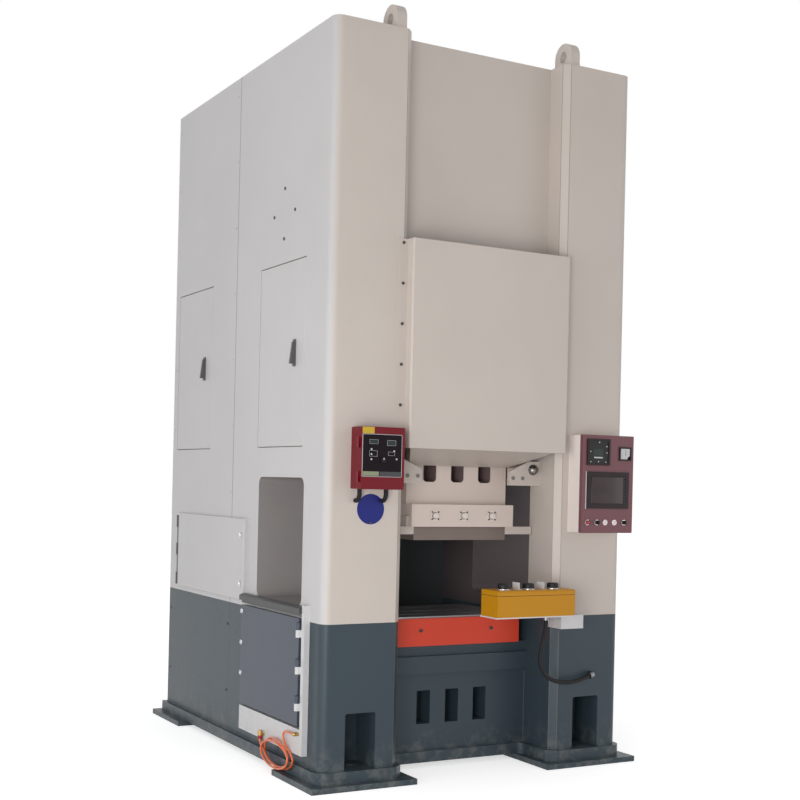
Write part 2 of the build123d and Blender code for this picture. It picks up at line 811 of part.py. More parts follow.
def door_handle(y0):
    """Black swing handle: a mounting plate with a lever that tapers out of it."""
    y = y0 + HANDLE_IN
    z = DOOR_Z + DOOR_H * HALF
    plate = block(
        -SIDE_X - HANDLE_PLATE_T,
        -SIDE_X,
        y - HANDLE_W * HALF,
        y + HANDLE_W * HALF,
        z - HANDLE_H * HALF,
        z + HANDLE_H * HALF,
    )
    plate = fillet(plate.edges().filter_by(Axis.X), HANDLE_W * HALF * STEM_SHARE)
    lever_h = HANDLE_H - HANDLE_W
    lever = Polyline(
        (-SIDE_X - HANDLE_PLATE_T, z + lever_h * HALF),
        (-SIDE_X - HANDLE_OUT * STEM_SHARE, z + lever_h * HALF),
        (-SIDE_X - HANDLE_OUT, z - lever_h * HALF),
        (-SIDE_X - HANDLE_PLATE_T, z - lever_h * HALF),
        close=True,
    )
    lever_w = HANDLE_W * STEM_SHARE
    side = Plane.XZ.offset(-y - lever_w * HALF)
    return plate + extrude(side * make_face(lever), amount=lever_w)


def front_side_door():
    return side_door(FRONT_Y + FRONT_DOOR_IN, DOOR_W)


def front_door_handle():
    return door_handle(FRONT_Y + FRONT_DOOR_IN)


def rear_side_door():
    return side_door(REAR_DOOR_Y, REAR_DOOR_W)


def rear_door_handle():
    return door_handle(REAR_DOOR_Y)


def hinge_heights(z, h, shares):
    """Where the fixed and leaf knuckles of each hinge meet."""
    return [z + h * share for share in shares]


def lower_side_door():
    """Wide folded door on the side, with three leaf knuckles at its back edge."""
    y1 = LOWER_HINGE_Y - KNUCKLE_R - LEAF_T
    top = LOWER_DOOR_Z + LOWER_DOOR_H
    y0 = GUARD_END_Y + LOWER_DOOR_GAP
    door = block(-SIDE_X - LOWER_DOOR_T, -SIDE_X, y0, y1, LOWER_DOOR_Z, top)
    outer = door.faces().sort_by(Axis.X)[0]
    door = fillet(outer.edges(), LOWER_DOOR_FOLD_R)
    for z in hinge_heights(LOWER_DOOR_Z, LOWER_DOOR_H, LOWER_HINGE_SHARES):
        knuckle = rod_z(HINGE_X, LOWER_HINGE_Y, z + KNUCKLE_GAP, z + KNUCKLE_H, KNUCKLE_R)
        leaf_x = HINGE_X - LEAF_T * HALF
        leaf = block(leaf_x, leaf_x + LEAF_T, y1 - LEAF_T, LOWER_HINGE_Y, z + KNUCKLE_GAP, z + KNUCKLE_H)
        door += knuckle + leaf
    return door


def hinge_knuckles():
    """Fixed halves of the hinges: on the casing for the lower door, on the post for the guard."""
    halves = []
    for z in hinge_heights(LOWER_DOOR_Z, LOWER_DOOR_H, LOWER_HINGE_SHARES):
        knuckle = rod_z(HINGE_X, LOWER_HINGE_Y, z - KNUCKLE_H, z, KNUCKLE_R)
        leaf_y = LOWER_HINGE_Y + KNUCKLE_R * 2
        leaf = block(-SIDE_X - LEAF_T, -SIDE_X, LOWER_HINGE_Y, leaf_y, z - KNUCKLE_H, z)
        halves.append(knuckle + leaf)
    for z in hinge_heights(*guard_panel_height(), GUARD_HINGE_SHARES):
        knuckle = rod_z(GUARD_HINGE_X, GUARD_HINGE_Y, z - KNUCKLE_H, z, KNUCKLE_R)
        foot_x = GUARD_HINGE_X + KNUCKLE_R
        leaf = block(GUARD_HINGE_X, foot_x + LEAF_T, GUARD_Y, GUARD_HINGE_Y, z - KNUCKLE_H, z)
        halves.append(knuckle + leaf)
    return group(halves)


# Side guard

def guard_panel_height():
    """Lower edge and height of the guard panel, between the trunking and the rail."""
    z0 = POST_Z + TRUNK_H + GUARD_GAP
    return z0, RAIL_Z - GUARD_GAP - z0


def guard_frame():
    """White post beside the column, welded to the trunking that carries the air line."""
    post = block(
        -SIDE_X - GUARD_OUT,
        -SIDE_X,
        FRONT_Y + GUARD_FRONT,
        GUARD_Y,
        POST_Z,
        POST_Z + POST_H,
    )
    trunk = block(-SIDE_X - GUARD_OUT, -SIDE_X, GUARD_Y, GUARD_END_Y, POST_Z, POST_Z + TRUNK_H)
    return post + trunk


def guard_rail():
    """Stepped rail on the column under the window."""
    outline = Polyline(
        (-SIDE_X, RAIL_Z),
        (-SIDE_X - RAIL_OUT + RAIL_STEP, RAIL_Z),
        (-SIDE_X - RAIL_OUT + RAIL_STEP, RAIL_Z + RAIL_STEP),
        (-SIDE_X - RAIL_OUT, RAIL_Z + RAIL_STEP),
        (-SIDE_X - RAIL_OUT, RAIL_Z + RAIL_H - RAIL_STEP * HALF),
        (-SIDE_X - RAIL_OUT + RAIL_STEP, RAIL_Z + RAIL_H),
        (-SIDE_X, RAIL_Z + RAIL_H),
        close=True,
    )
    return extrude(Plane.XZ.offset(-GUARD_END_Y) * make_face(outline), amount=GUARD_END_Y - GUARD_Y)


def guard_panel():
    """Hinged sheet with a folded border and three leaf knuckles."""
    z0, h = guard_panel_height()
    x0 = GUARD_HINGE_X + KNUCKLE_R
    y0 = GUARD_HINGE_Y + KNUCKLE_R + LEAF_T
    y1 = GUARD_END_Y
    sheet = block(x0, x0 + GUARD_PANEL_T, y0, y1, z0, z0 + h)
    border = block(x0, x0 + GUARD_RIB, y0, y1, z0, z0 + h)
    inner = block(
        x0 - CUT_OVER,
        x0 + GUARD_RIB + CUT_OVER,
        y0 + GUARD_RIB,
        y1 - GUARD_RIB,
        z0 + GUARD_RIB,
        z0 + h - GUARD_RIB,
    )
    panel = sheet + (border - inner)
    for z in hinge_heights(z0, h, GUARD_HINGE_SHARES):
        knuckle = rod_z(GUARD_HINGE_X, GUARD_HINGE_Y, z + KNUCKLE_GAP, z + KNUCKLE_H, KNUCKLE_R)
        leaf = block(GUARD_HINGE_X, x0 + LEAF_T, GUARD_HINGE_Y, y0 + LEAF_T, z + KNUCKLE_GAP, z + KNUCKLE_H)
        panel += knuckle + (leaf - rod_z(GUARD_HINGE_X, GUARD_HINGE_Y, z, z + KNUCKLE_H, KNUCKLE_R))
    return panel


# Load monitor box

def open_case(x, w, y0, z, h, d):
    """Box with thin walls, its back on the column and its front open."""
    case = block(x - w * HALF, x + w * HALF, y0 - d, y0, z, z + h)
    case = fillet(case.edges().filter_by(Axis.Y), BOX_CORNER_R)
    return case - block(
        x - w * HALF + BOX_WALL,
        x + w * HALF - BOX_WALL,
        y0 - d - CUT_OVER,
        y0 - BOX_WALL,
        z + BOX_WALL,
        z + h - BOX_WALL,
    )


def box_door(x, w, y0, z, h, t):
    """Solid front door of a box, with rounded corners."""
    door = block(x - w * HALF, x + w * HALF, y0 - t, y0, z, z + h)
    return fillet(door.edges().filter_by(Axis.Y), BOX_CORNER_R)


def box_hinges(edge_x, side, y, z, h, over, depth):
    """Hinge halves beside a box: under the joint on its case, or over it on its door."""
    r = BOX_HINGE_R
    x = edge_x + side * (r + KNUCKLE_GAP)
    halves = []
    for joint_z in hinge_heights(z, h, BOX_HINGE_SHARES):
        z0, z1 = (joint_z + KNUCKLE_GAP, joint_z + BOX_HINGE_H) if over else (joint_z - BOX_HINGE_H, joint_z)
        y0, y1 = sorted((y, y + depth))
        x0, x1 = sorted((x, edge_x - side * BOX_WALL))
        halves.append(rod_z(x, y, z0, z1, r) + block(x0, x1, y0, y1, z0, z1))
    return halves


def monitor_case():
    """Red box on the left column, with its hinge halves."""
    y = FRONT_Y - MONITOR_CASE_D
    case = open_case(MONITOR_X, MONITOR_W, FRONT_Y, MONITOR_Z, MONITOR_H, MONITOR_CASE_D)
    return case + box_hinges(MONITOR_X - MONITOR_W * HALF, -1, y, MONITOR_Z, MONITOR_H, False, BOX_HINGE_R)


def monitor_door():
    """Front of the red box, with its hinge halves."""
    y = FRONT_Y - MONITOR_CASE_D
    door = box_door(MONITOR_X, MONITOR_W, y, MONITOR_Z, MONITOR_H, MONITOR_DOOR_T)
    return door + box_hinges(MONITOR_X - MONITOR_W * HALF, -1, y, MONITOR_Z, MONITOR_H, True, -BOX_HINGE_R)


def conduit_elbows():
    """Two bent conduits from the box's underside into the column."""
    y = FRONT_Y - MONITOR_CASE_D * HALF
    elbows = []
    for share in ELBOW_SHARES:
        x = MONITOR_X + (share - HALF) * MONITOR_W
        low = MONITOR_Z - ELBOW_DROP - ELBOW_BEND_R
        path = FilletPolyline((x, y, MONITOR_Z), (x, y, low), (x, FRONT_Y, low), radius=ELBOW_BEND_R)
        elbows.append(sweep(Plane(path @ 0, z_dir=path % 0) * Circle(ELBOW_R), path))
    return group(elbows)


# Control panel

def control_box():
    """Box on the right column, with its hinge halves."""
    y = FRONT_Y - PANEL_CASE_D
    case = open_case(PANEL_X, PANEL_W, FRONT_Y, PANEL_Z, PANEL_H, PANEL_CASE_D)
    return case + box_hinges(PANEL_X + PANEL_W * HALF, 1, y, PANEL_Z, PANEL_H, False, BOX_HINGE_R)


def panel_point(across_share, down_share):
    """Place on the panel's front, from shares of its width and height."""
    return PANEL_X + (across_share - HALF) * PANEL_W, PANEL_Z + (1 - down_share) * PANEL_H


def control_door():
    """Front door with its hinge halves and a hole for each button and selector."""
    y = FRONT_Y - PANEL_CASE_D
    door = box_door(PANEL_X, PANEL_W, y, PANEL_Z, PANEL_H, PANEL_DOOR_T)
    door += box_hinges(PANEL_X + PANEL_W * HALF, 1, y, PANEL_Z, PANEL_H, True, -BOX_HINGE_R)
    for share in (BUTTON_SHARE, *SELECTOR_SHARES):
        x, z = panel_point(share, BUTTON_ROW_SHARE)
        r = BUTTON_R * STEM_SHARE + HOLE_GAP
        door -= rod_y(x, z, PANEL_FRONT_Y - CUT_OVER, PANEL_FRONT_Y + PANEL_DOOR_T + CUT_OVER, r)
    return door


def panel_displays():
    """Display module, meter and screen with raised bezels, and two lamps."""
    pieces = []
    for left, right, top, bottom in DISPLAY_SHARES:
        x0, z1 = panel_point(left, top)
        x1, z0 = panel_point(right, bottom)
        bezel = block(x0, x1, PANEL_FRONT_Y - BEZEL_T, PANEL_FRONT_Y, z0, z1)
        edge = (x1 - x0) * BEZEL_SHARE
        well_y = PANEL_FRONT_Y - BEZEL_T * HALF
        well = block(x0 + edge, x1 - edge, PANEL_FRONT_Y - BEZEL_T - CUT_OVER, well_y, z0 + edge, z1 - edge)
        pieces.append(bezel - well)
    for share in LAMP_SHARES:
        x, z = panel_point(share, BUTTON_ROW_SHARE)
        lamp = rod_y(x, z, PANEL_FRONT_Y - LAMP_OUT, PANEL_FRONT_Y, BUTTON_R)
        front = lamp.faces().sort_by(Axis.Y)[0]
        pieces.append(chamfer(front.edges(), LAMP_OUT * HALF))
    return group(pieces)


def stem(x, z):
    """Shaft of a button or selector through the door."""
    return rod_y(x, z, PANEL_FRONT_Y, PANEL_FRONT_Y + PANEL_DOOR_T, BUTTON_R * STEM_SHARE)


def panel_button():
    """Mushroom button that stands off the panel by its travel."""
    x, z = panel_point(BUTTON_SHARE, BUTTON_ROW_SHARE)
    y = PANEL_FRONT_Y - BUTTON_TRAVEL
    head = rod_y(x, z, y - BUTTON_OUT, y, BUTTON_R)
    head = chamfer(head.faces().sort_by(Axis.Y)[0].edges(), BUTTON_OUT * BEVEL_SHARE)
    return head + stem(x, z) + rod_y(x, z, y, PANEL_FRONT_Y, BUTTON_R * STEM_SHARE)


def panel_selector(share):
    """Round selector with a raised grip across it."""
    x, z = panel_point(share, BUTTON_ROW_SHARE)
    y = PANEL_FRONT_Y
    disc = rod_y(x, z, y - SELECTOR_T, y, BUTTON_R)
    grip_x = BUTTON_R * STEM_SHARE * HALF
    grip_z = BUTTON_R * (1 - STEM_SHARE * HALF)
    grip = block(x - grip_x, x + grip_x, y - SELECTOR_OUT, y - SELECTOR_T, z - grip_z, z + grip_z)
    return disc + grip + stem(x, z)


def panel_selector_left():
    return panel_selector(SELECTOR_SHARES[0])


def panel_selector_right():
    return panel_selector(SELECTOR_SHARES[1])


# Two-hand control

def palm_x(share):
    """Place of a palm button along the box."""
    return TWOHAND_X + (share - HALF) * TWOHAND_W


def twohand_box():
    """Long box with a slanted front edge and a guide hole for each palm button."""
    x = TWOHAND_W * HALF
    front = FRONT_Y - TWOHAND_REACH
    outline = Polyline(
        (front, TWOHAND_Z),
        (TWOHAND_BACK_Y, TWOHAND_Z),
        (TWOHAND_BACK_Y, TWOHAND_TOP),
        (front + TWOHAND_CHAMFER, TWOHAND_TOP),
        (front, TWOHAND_TOP - TWOHAND_CHAMFER),
        close=True,
    )
    body = extrude(Plane.YZ.offset(TWOHAND_X - x) * make_face(outline), amount=TWOHAND_W)
    for share in PALM_SHARES:
        hole_z = TWOHAND_TOP - PALM_STEM_H - PALM_TRAVEL
        body -= rod_z(palm_x(share), palm_y(), hole_z, TWOHAND_TOP + CUT_OVER, PALM_STEM_R + RUN_GAP)
    return body


def palm_y():
    """Palm buttons sit in the middle of the flat top."""
    return (FRONT_Y - TWOHAND_REACH + TWOHAND_CHAMFER + TWOHAND_BACK_Y) * HALF


def twohand_bracket():
    """White base plate under the box, welded to its arm on the column."""
    x = TWOHAND_W * HALF + TWOHAND_PLATE_OUT
    front = FRONT_Y - TWOHAND_REACH
    plate_z = TWOHAND_Z - TWOHAND_PLATE_T
    plate = block(TWOHAND_X - x, TWOHAND_X + x, front, TWOHAND_BACK_Y + TWOHAND_PLATE_OUT, plate_z, TWOHAND_Z)
    arm = block(
        ARM_X - ARM_W * HALF,
        ARM_X + ARM_W * HALF,
        TWOHAND_BACK_Y - TWOHAND_D * HALF,
        FRONT_Y,
        plate_z - ARM_H,
        plate_z,
    )
    return plate + arm


def palm_button(share):
    """Dark palm button on a stem that slides in the box."""
    z = TWOHAND_TOP + PALM_TRAVEL
    cap = rod_z(palm_x(share), palm_y(), z, z + PALM_H, PALM_R)
    cap = chamfer(cap.faces().sort_by(Axis.Z)[-1].edges(), PALM_BEVEL)
    return cap + rod_z(palm_x(share), palm_y(), TWOHAND_TOP - PALM_STEM_H + PALM_TRAVEL, z, PALM_STEM_R)


def palm_button_left():
    return palm_button(PALM_SHARES[0])


def palm_button_middle():
    return palm_button(PALM_SHARES[1])


def palm_button_right():
    return palm_button(PALM_SHARES[2])


def button_guards():
    """Two bent shields between the palm buttons."""
    shields = []
    for share in SHIELD_SHARES:
        x = palm_x(share)
        y = palm_y()
        wall = block(
            x - GUARD_SHIELD_T * HALF,
            x + GUARD_SHIELD_T * HALF,
            y - GUARD_SHIELD_L * HALF,
            y + GUARD_SHIELD_L * HALF,
            TWOHAND_TOP,
            TWOHAND_TOP + GUARD_SHIELD_H,
        )
        foot = block(
            x,
            x + GUARD_SHIELD_H * HALF,
            y - GUARD_SHIELD_L * HALF,
            y + GUARD_SHIELD_L * HALF,
            TWOHAND_TOP,
            TWOHAND_TOP + GUARD_SHIELD_T,
        )
        shields.append(wall + foot)
    return group(shields)


# Hoses: each route lies between its two ends, at shares of the way from one to the other

def hose_start():
    """Under the gland of the two-hand box."""
    z = TWOHAND_Z - TWOHAND_PLATE_T - GLAND_DROP
    return Vector(TWOHAND_X + TWOHAND_W * HOSE_START_SHARE, FRONT_Y - HOSE_START_OUT, z)


def hose_end():
    """At the mouth of the elbow fitting on the right column."""
    return Vector(COLUMN_X, FRONT_Y - HOSE_END_OUT, HOSE_END_Z)


def air_start():
    """At the mouth of the elbow on the trunking."""
    return Vector(
        -SIDE_X - GUARD_OUT - AIR_FITTING_L,
        GUARD_Y + AIR_FITTING_L,
        POST_Z + TRUNK_H - AIR_FITTING_L,
    )


def coil_middle():
    """Middle of the loose turns, which stand on the foot plate and lean on the trunking."""
    x = -SIDE_X - GUARD_OUT - KNUCKLE_GAP - COIL_T * HALF
    return Vector(x, FRONT_Y + COIL_IN, FOOT_T + COIL_H * HALF)


def air_end():
    """On top of the loose turns, towards the front."""
    middle = coil_middle()
    z = middle.Z + COIL_H * HALF * AIR_END_SHARES[1]
    return Vector(middle.X, middle.Y + COIL_L * HALF * AIR_END_SHARES[0], z)


def tail_start():
    """In the rear of the loose turns, where the hose comes up."""
    middle = coil_middle()
    y = middle.Y + COIL_L * HALF * TAIL_START_SHARES[0]
    return Vector(middle.X, y, middle.Z + COIL_H * HALF * TAIL_START_SHARES[1])


def tail_end():
    """At the mouth of the coupling that points down from the trunking."""
    x = -SIDE_X - GUARD_OUT - COUPLING_R - COUPLING_OUT
    return Vector(x, coil_middle().Y + COUPLING_BACK, POST_Z + COUPLING_UP)


def route(start, end, shares):
    """Points between two ends, at shares of the way along X, Y and Z."""
    way = end - start
    between = [start + Vector(way.X * u, way.Y * v, way.Z * w) for u, v, w in shares]
    return [start, *between, end]


def cord_path(points):
    """Straight runs joined by the largest tangent arcs that they leave room for."""
    runs = [b - a for a, b in zip(points, points[1:])]
    radii = []
    for a, b in zip(runs, runs[1:]):
        half_turn = radians(a.get_angle(b)) * HALF
        radii.append(CORD_ARC_SHARE * min(a.length, b.length) / tan(half_turn))
    print("cord radii", [round(r) for r in radii])
    return FilletPolyline(*points, radius=radii)


def cord_tube(points, d):
    """Round hose along a route."""
    path = cord_path(points)
    section = Circle(d * HALF)
    tube = sweep(Plane(path @ 0, z_dir=path % 0) * section, path)
    print("cord length", round(path.length), "volume share", tube.volume / (section.area * path.length))
    return tube


def control_hose():
    return cord_tube(route(hose_start(), hose_end(), CONTROL_SHARES), CONTROL_HOSE_D)


def hose_glands():
    """Gland under the two-hand box, and the elbow fitting on the column."""
    start = hose_start()
    gland = rod_z(start.X, start.Y, start.Z, start.Z + GLAND_DROP, GLAND_R)
    points = route(start, hose_end(), CONTROL_SHARES)
    along = (points[-1] - points[-2]).normalized()
    corner = points[-1] + along * GLAND_DROP
    sleeve = extrude(Plane(points[-1], z_dir=along) * Circle(GLAND_R), amount=GLAND_DROP)
    fitting = sleeve + Pos(corner.X, corner.Y, corner.Z) * Sphere(GLAND_R)
    fitting += rod_y(corner.X, corner.Z, corner.Y, FRONT_Y, GLAND_R)
    return group([gland, fitting])


def air_hose_lead():
    return cord_tube(route(air_start(), air_end(), AIR_SHARES), AIR_HOSE_D)


def coil_oval(l, h):
    """Oval of a given length and height, seen from the side."""
    middle = coil_middle()
    return Plane.YZ.offset(middle.X - COIL_T * HALF) * Pos(middle.Y, middle.Z) * Ellipse(l * HALF, h * HALF)


def air_hose_coil():
    """Outer shape of the loose turns on the foot plate, with the short end to the coupling."""
    ring = coil_oval(COIL_L, COIL_H) - coil_oval(COIL_L - COIL_RING * 2, COIL_H - COIL_RING * 2)
    coil = extrude(ring, amount=COIL_T)
    return coil + cord_tube(route(tail_start(), tail_end(), TAIL_SHARES), AIR_HOSE_D)


def air_fittings():
    """Elbow on the trunking where the hose starts, and the coupling where it ends."""
    wall_x = -SIDE_X - GUARD_OUT
    start = air_start()
    back_y = start.Y - AIR_FITTING_L * HALF
    elbow = rod_x(back_y, start.Z, start.X, wall_x, AIR_FITTING_R)
    elbow += Pos(start.X, back_y, start.Z) * Sphere(AIR_FITTING_R)
    elbow += rod_y(start.X, start.Z, back_y, start.Y, AIR_FITTING_R)
    end = tail_end()
    coupling = rod_z(end.X, end.Y, end.Z, end.Z + COUPLING_L, COUPLING_R)
    stub_z = end.Z + COUPLING_L * HALF
    coupling += rod_x(end.Y, stub_z, end.X, wall_x, COUPLING_R * STEM_SHARE)
    return group([elbow, coupling])


# Power unit

def oil_tank():
    """Oil tank on the base, with a lid that stands out all round."""
    x = TANK_W * HALF
    y = TANK_D * HALF
    top = BASE_Z + TANK_H
    tank = block(-x, x, TANK_Y - y, TANK_Y + y, BASE_Z, top)
    tank = fillet(tank.edges().filter_by(Axis.Z), TANK_R)
    x += TANK_LID_OUT
    y += TANK_LID_OUT
    return tank + block(-x, x, TANK_Y - y, TANK_Y + y, top, TANK_TOP)


def motor_z():
    """Height of the motor's axis over the tank."""
    return TANK_TOP + MOTOR_FOOT_H + MOTOR_R + MOTOR_FIN


def pump_motor():
    """Finned motor along X on two feet, with a fan cover."""
    z = motor_z()
    x0 = -MOTOR_L
    body = rod_x(TANK_Y, z, x0, 0, MOTOR_R)
    fin = Pos(0, 0, MOTOR_R) * Box(MOTOR_L - MOTOR_COVER_L * 2, MOTOR_FIN_T, MOTOR_FIN * 2)
    for turn in range(MOTOR_FIN_COUNT):
        angle = 360 * turn / MOTOR_FIN_COUNT
        body += Pos(x0 * HALF, TANK_Y, z) * Rot(angle, 0, 0) * fin
    body += rod_x(TANK_Y, z, x0 - MOTOR_COVER_L, x0 + MOTOR_COVER_L, MOTOR_R + MOTOR_FIN)
    for x in (x0 + MOTOR_COVER_L * 2, -MOTOR_COVER_L * 2):
        body += block(x, x + MOTOR_COVER_L, TANK_Y - MOTOR_R, TANK_Y + MOTOR_R, TANK_TOP, z - MOTOR_R * HALF)
    return body


def hydraulic_pump():
    """Bell housing and round pump on the motor's end."""
    z = motor_z()
    bell = rod_x(TANK_Y, z, 0, BELL_L, MOTOR_R)
    return bell + rod_x(TANK_Y, z, BELL_L, BELL_L + PUMP_L, PUMP_R)


def valve_x():
    """Middle of the valve block, beside the pump."""
    return BELL_L + PUMP_L + VALVE_W


def valve_block():
    """Drilled block on the tank with a solenoid on each side."""
    x = valve_x()
    body = block(
        x - VALVE_W * HALF,
        x + VALVE_W * HALF,
        TANK_Y - VALVE_D * HALF,
        TANK_Y + VALVE_D * HALF,
        TANK_TOP,
        TANK_TOP + VALVE_H,
    )
    z = TANK_TOP + VALVE_H * HALF
    reach = VALVE_D * HALF + COIL_BLOCK_L
    solenoids = block(x - COIL_BLOCK, x + COIL_BLOCK, TANK_Y - reach, TANK_Y + reach, z, z + COIL_BLOCK)
    return body + solenoids


def pipe_ports():
    """Where the two pipes enter the crown, as (x, z): over the piston and over the gland."""
    top = CROWN_Z + CYLINDER_L - CYLINDER_CAP_T * HALF
    low = CROWN_Z + PIPE_BEND_R
    return [(PIPE_STEP * HALF, top), (-PIPE_STEP * HALF, low)]


def pressure_pipes():
    """Pipes from the valve block up the casing and forward to the cylinder."""
    pipes = []
    for (x, z), side in zip(pipe_ports(), (1, -1)):
        foot_x = valve_x() + side * PIPE_STEP * HALF
        reach = DIE_Y + sqrt(CYLINDER_R ** 2 - (abs(x) - PIPE_R) ** 2) + RUN_GAP
        low = (TANK_TOP + VALVE_H + z) * HALF + side * PIPE_STEP
        path = FilletPolyline(
            (foot_x, TANK_Y, TANK_TOP + VALVE_H),
            (foot_x, TANK_Y, low),
            (x, TANK_Y, low),
            (x, TANK_Y, z),
            (x, reach, z),
            radius=PIPE_BEND_R,
        )
        pipes.append(sweep(Plane(path @ 0, z_dir=path % 0) * Circle(PIPE_R), path))
    return group(pipes)


# Electrical gear

def gear_space():
    """Clear width and height of the front cabinet."""
    return DOOR_W - DOOR_LIP * 2, DOOR_H - DOOR_LIP * 2


def electrical_plate():
    w, h = gear_space()
    x = -SIDE_X + CABINET_DEEP
    y = FRONT_Y + FRONT_DOOR_IN + DOOR_W * HALF
    z = DOOR_Z + DOOR_H * HALF
    w -= GEAR_MARGIN * 2
    h -= GEAR_MARGIN * 2
    return block(x - GEAR_PLATE_T, x, y - w * HALF, y + w * HALF, z - h * HALF, z + h * HALF)


def electrical_modules():
    """Rows of switchgear modules on the plate."""
    w, h = gear_space()
    x = -SIDE_X + CABINET_DEEP - GEAR_PLATE_T
    y_mid = FRONT_Y + FRONT_DOOR_IN + DOOR_W * HALF
    z_mid = DOOR_Z + DOOR_H * HALF
    step_y = (w - GEAR_MARGIN * 2) / GEAR_COLUMNS
    step_z = (h - GEAR_MARGIN * 2) / GEAR_ROWS
    modules = []
    for row in range(GEAR_ROWS):
        z = z_mid + (row - (GEAR_ROWS - 1) * HALF) * step_z
        for column in range(GEAR_COLUMNS - row % 2):
            y = y_mid + (column - (GEAR_COLUMNS - 1) * HALF) * step_y
            modules.append(gear_module(x, y, z))
    return group(modules)


def gear_module(x, y, z):
    """One module: a body with a nose across its front."""
    half_w = GEAR_W * HALF
    half_h = GEAR_H * HALF
    nose_h = half_h * HALF
    body = block(x - GEAR_D, x, y - half_w, y + half_w, z - half_h, z + half_h)
    nose_x = x - GEAR_D - GEAR_MARGIN * HALF
    return body + block(nose_x, x - GEAR_D, y - half_w, y + half_w, z - nose_h, z + nose_h)


PIECES = (
    left_upright, right_upright, crown, bed, base_flange, foot_plates, lifting_lugs,
    bolster, bolster_front_plate, die_space_back_plate,
    slide, clamp_bolts, upper_die_plate, limit_bars, gib_rails, gib_blocks, slide_cover,
    cylinder_barrel, cylinder_gland, piston_rod,
    left_rear_panel, right_rear_panel, back_panel, roof_plate,
    front_side_door, front_door_handle, rear_side_door, rear_door_handle, lower_side_door,
    hinge_knuckles, guard_frame, guard_rail, guard_panel,
    monitor_case, monitor_door, conduit_elbows,
    control_box, control_door, panel_displays, panel_button, panel_selector_left, panel_selector_right,
    twohand_box, twohand_bracket, palm_button_left, palm_button_middle, palm_button_right, button_guards,
    control_hose, hose_glands, air_hose_lead, air_hose_coil, air_fittings,
    oil_tank, pump_motor, hydraulic_pump, valve_block, pressure_pipes,
    electrical_plate, electrical_modules,
)

for piece in PIECES:
    export_step(piece(), f"parts/{piece.__name__}.step")
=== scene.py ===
import json
import math

import bmesh
import bpy
import numpy as np
from mathutils import Matrix, Vector


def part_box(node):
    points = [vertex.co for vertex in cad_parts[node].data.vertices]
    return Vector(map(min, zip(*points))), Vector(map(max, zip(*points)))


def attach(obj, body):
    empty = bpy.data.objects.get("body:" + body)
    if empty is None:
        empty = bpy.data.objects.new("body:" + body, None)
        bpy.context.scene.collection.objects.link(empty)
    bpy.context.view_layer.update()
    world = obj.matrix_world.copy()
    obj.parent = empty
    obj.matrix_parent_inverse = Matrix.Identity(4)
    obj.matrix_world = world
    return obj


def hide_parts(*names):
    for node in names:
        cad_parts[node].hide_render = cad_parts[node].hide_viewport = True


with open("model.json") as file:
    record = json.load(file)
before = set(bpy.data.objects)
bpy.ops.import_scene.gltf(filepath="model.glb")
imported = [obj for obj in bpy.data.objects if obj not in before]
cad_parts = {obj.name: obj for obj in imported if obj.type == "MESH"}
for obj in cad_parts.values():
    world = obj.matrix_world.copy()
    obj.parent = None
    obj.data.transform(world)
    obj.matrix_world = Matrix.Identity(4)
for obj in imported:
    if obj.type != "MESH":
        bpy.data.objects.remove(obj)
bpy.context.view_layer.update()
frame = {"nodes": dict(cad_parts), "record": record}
NODES = frame["nodes"]
BOX = {name: np.array([list(corner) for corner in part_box(name)]) for name in NODES}
SLOTS = {part["node"]: part["material_slot"] for part in frame["record"]["subparts"]}

# Lengths are metres, in the frame of the model: X right, Y to the back, Z up.
TURN = 2 * math.pi

# Camera
EYE = (-3.586, -6.577, 1.485)
YAW = math.radians(29.13)
PITCH = math.radians(0.02)
ROLL = math.radians(1.31)
LENS_MM = 58.45
SENSOR_MM = 36
SHIFT_UP = 0.1

# Light: each lamp's place, aim, size and watts
LAMPS = {
    "key": ((-3.9, -5.2, 1.0), (0, -1, 1.0), 1.9, 112),
    "fill": ((6.5, -6.0, 1.6), (0, -0.5, 1.2), 3, 55),
    "side": ((-9.0, -3.0, 2.1), (-0.3, -0.5, 1.3), 4, 150),
}
FLOOR_HALF = 40
FLOOR_GLOW = 0.6
SKY_LIGHT = 0.48

# Places read from the solids
(OPENING_X, FRONT_Y, BASE_Z), (SIDE_X, _, TOP_Z) = BOX["right_upright"]
SEAM_Y = BOX["left_upright"][1, 1]
BACK_Y = BOX["back_panel"][1, 1]
BED_LIP = 0.022
BED_Y = BOX["bed"][0, 1] + BED_LIP
COLUMN_X = (OPENING_X + SIDE_X) / 2
COLUMN_HALF = (SIDE_X - OPENING_X) / 2

# Small sizes that many pieces share
SUNK = 0.0005
SMALL_R = 0.001
TAB_EDGE = 0.001
SKIN = 0.001
FADE = 0.0005
MERGE = 1e-6
SHARP = math.radians(35)

# Where a finish changes on one solid, and how softly
PAINT_LINE = 0.79
PAINT_FADE = 0.002
SEAM_HALF = 0.0028
SEAM_FADE = 0.0014
SIDE_IN = 0.02
SIDE_FADE = 0.03
WINDOW_MIDDLE = (-0.488, 1.1715)
WINDOW_HALF = (0.282, 0.3165)
SLOT_REACH = 0.215
SLOT_MIDDLE = (-0.6965, 1.546)
SLOT_HALF = (0.061, 0.066)
GIB_BOLT = (0.417, -0.850, 1.557)
GIB_BOLT_R = 0.0295
INNER_BEVEL = 0.033
BEVEL_LINE = 0.0018
HINGE_LEAF = 0.029
LAMP_TOP = 1.33

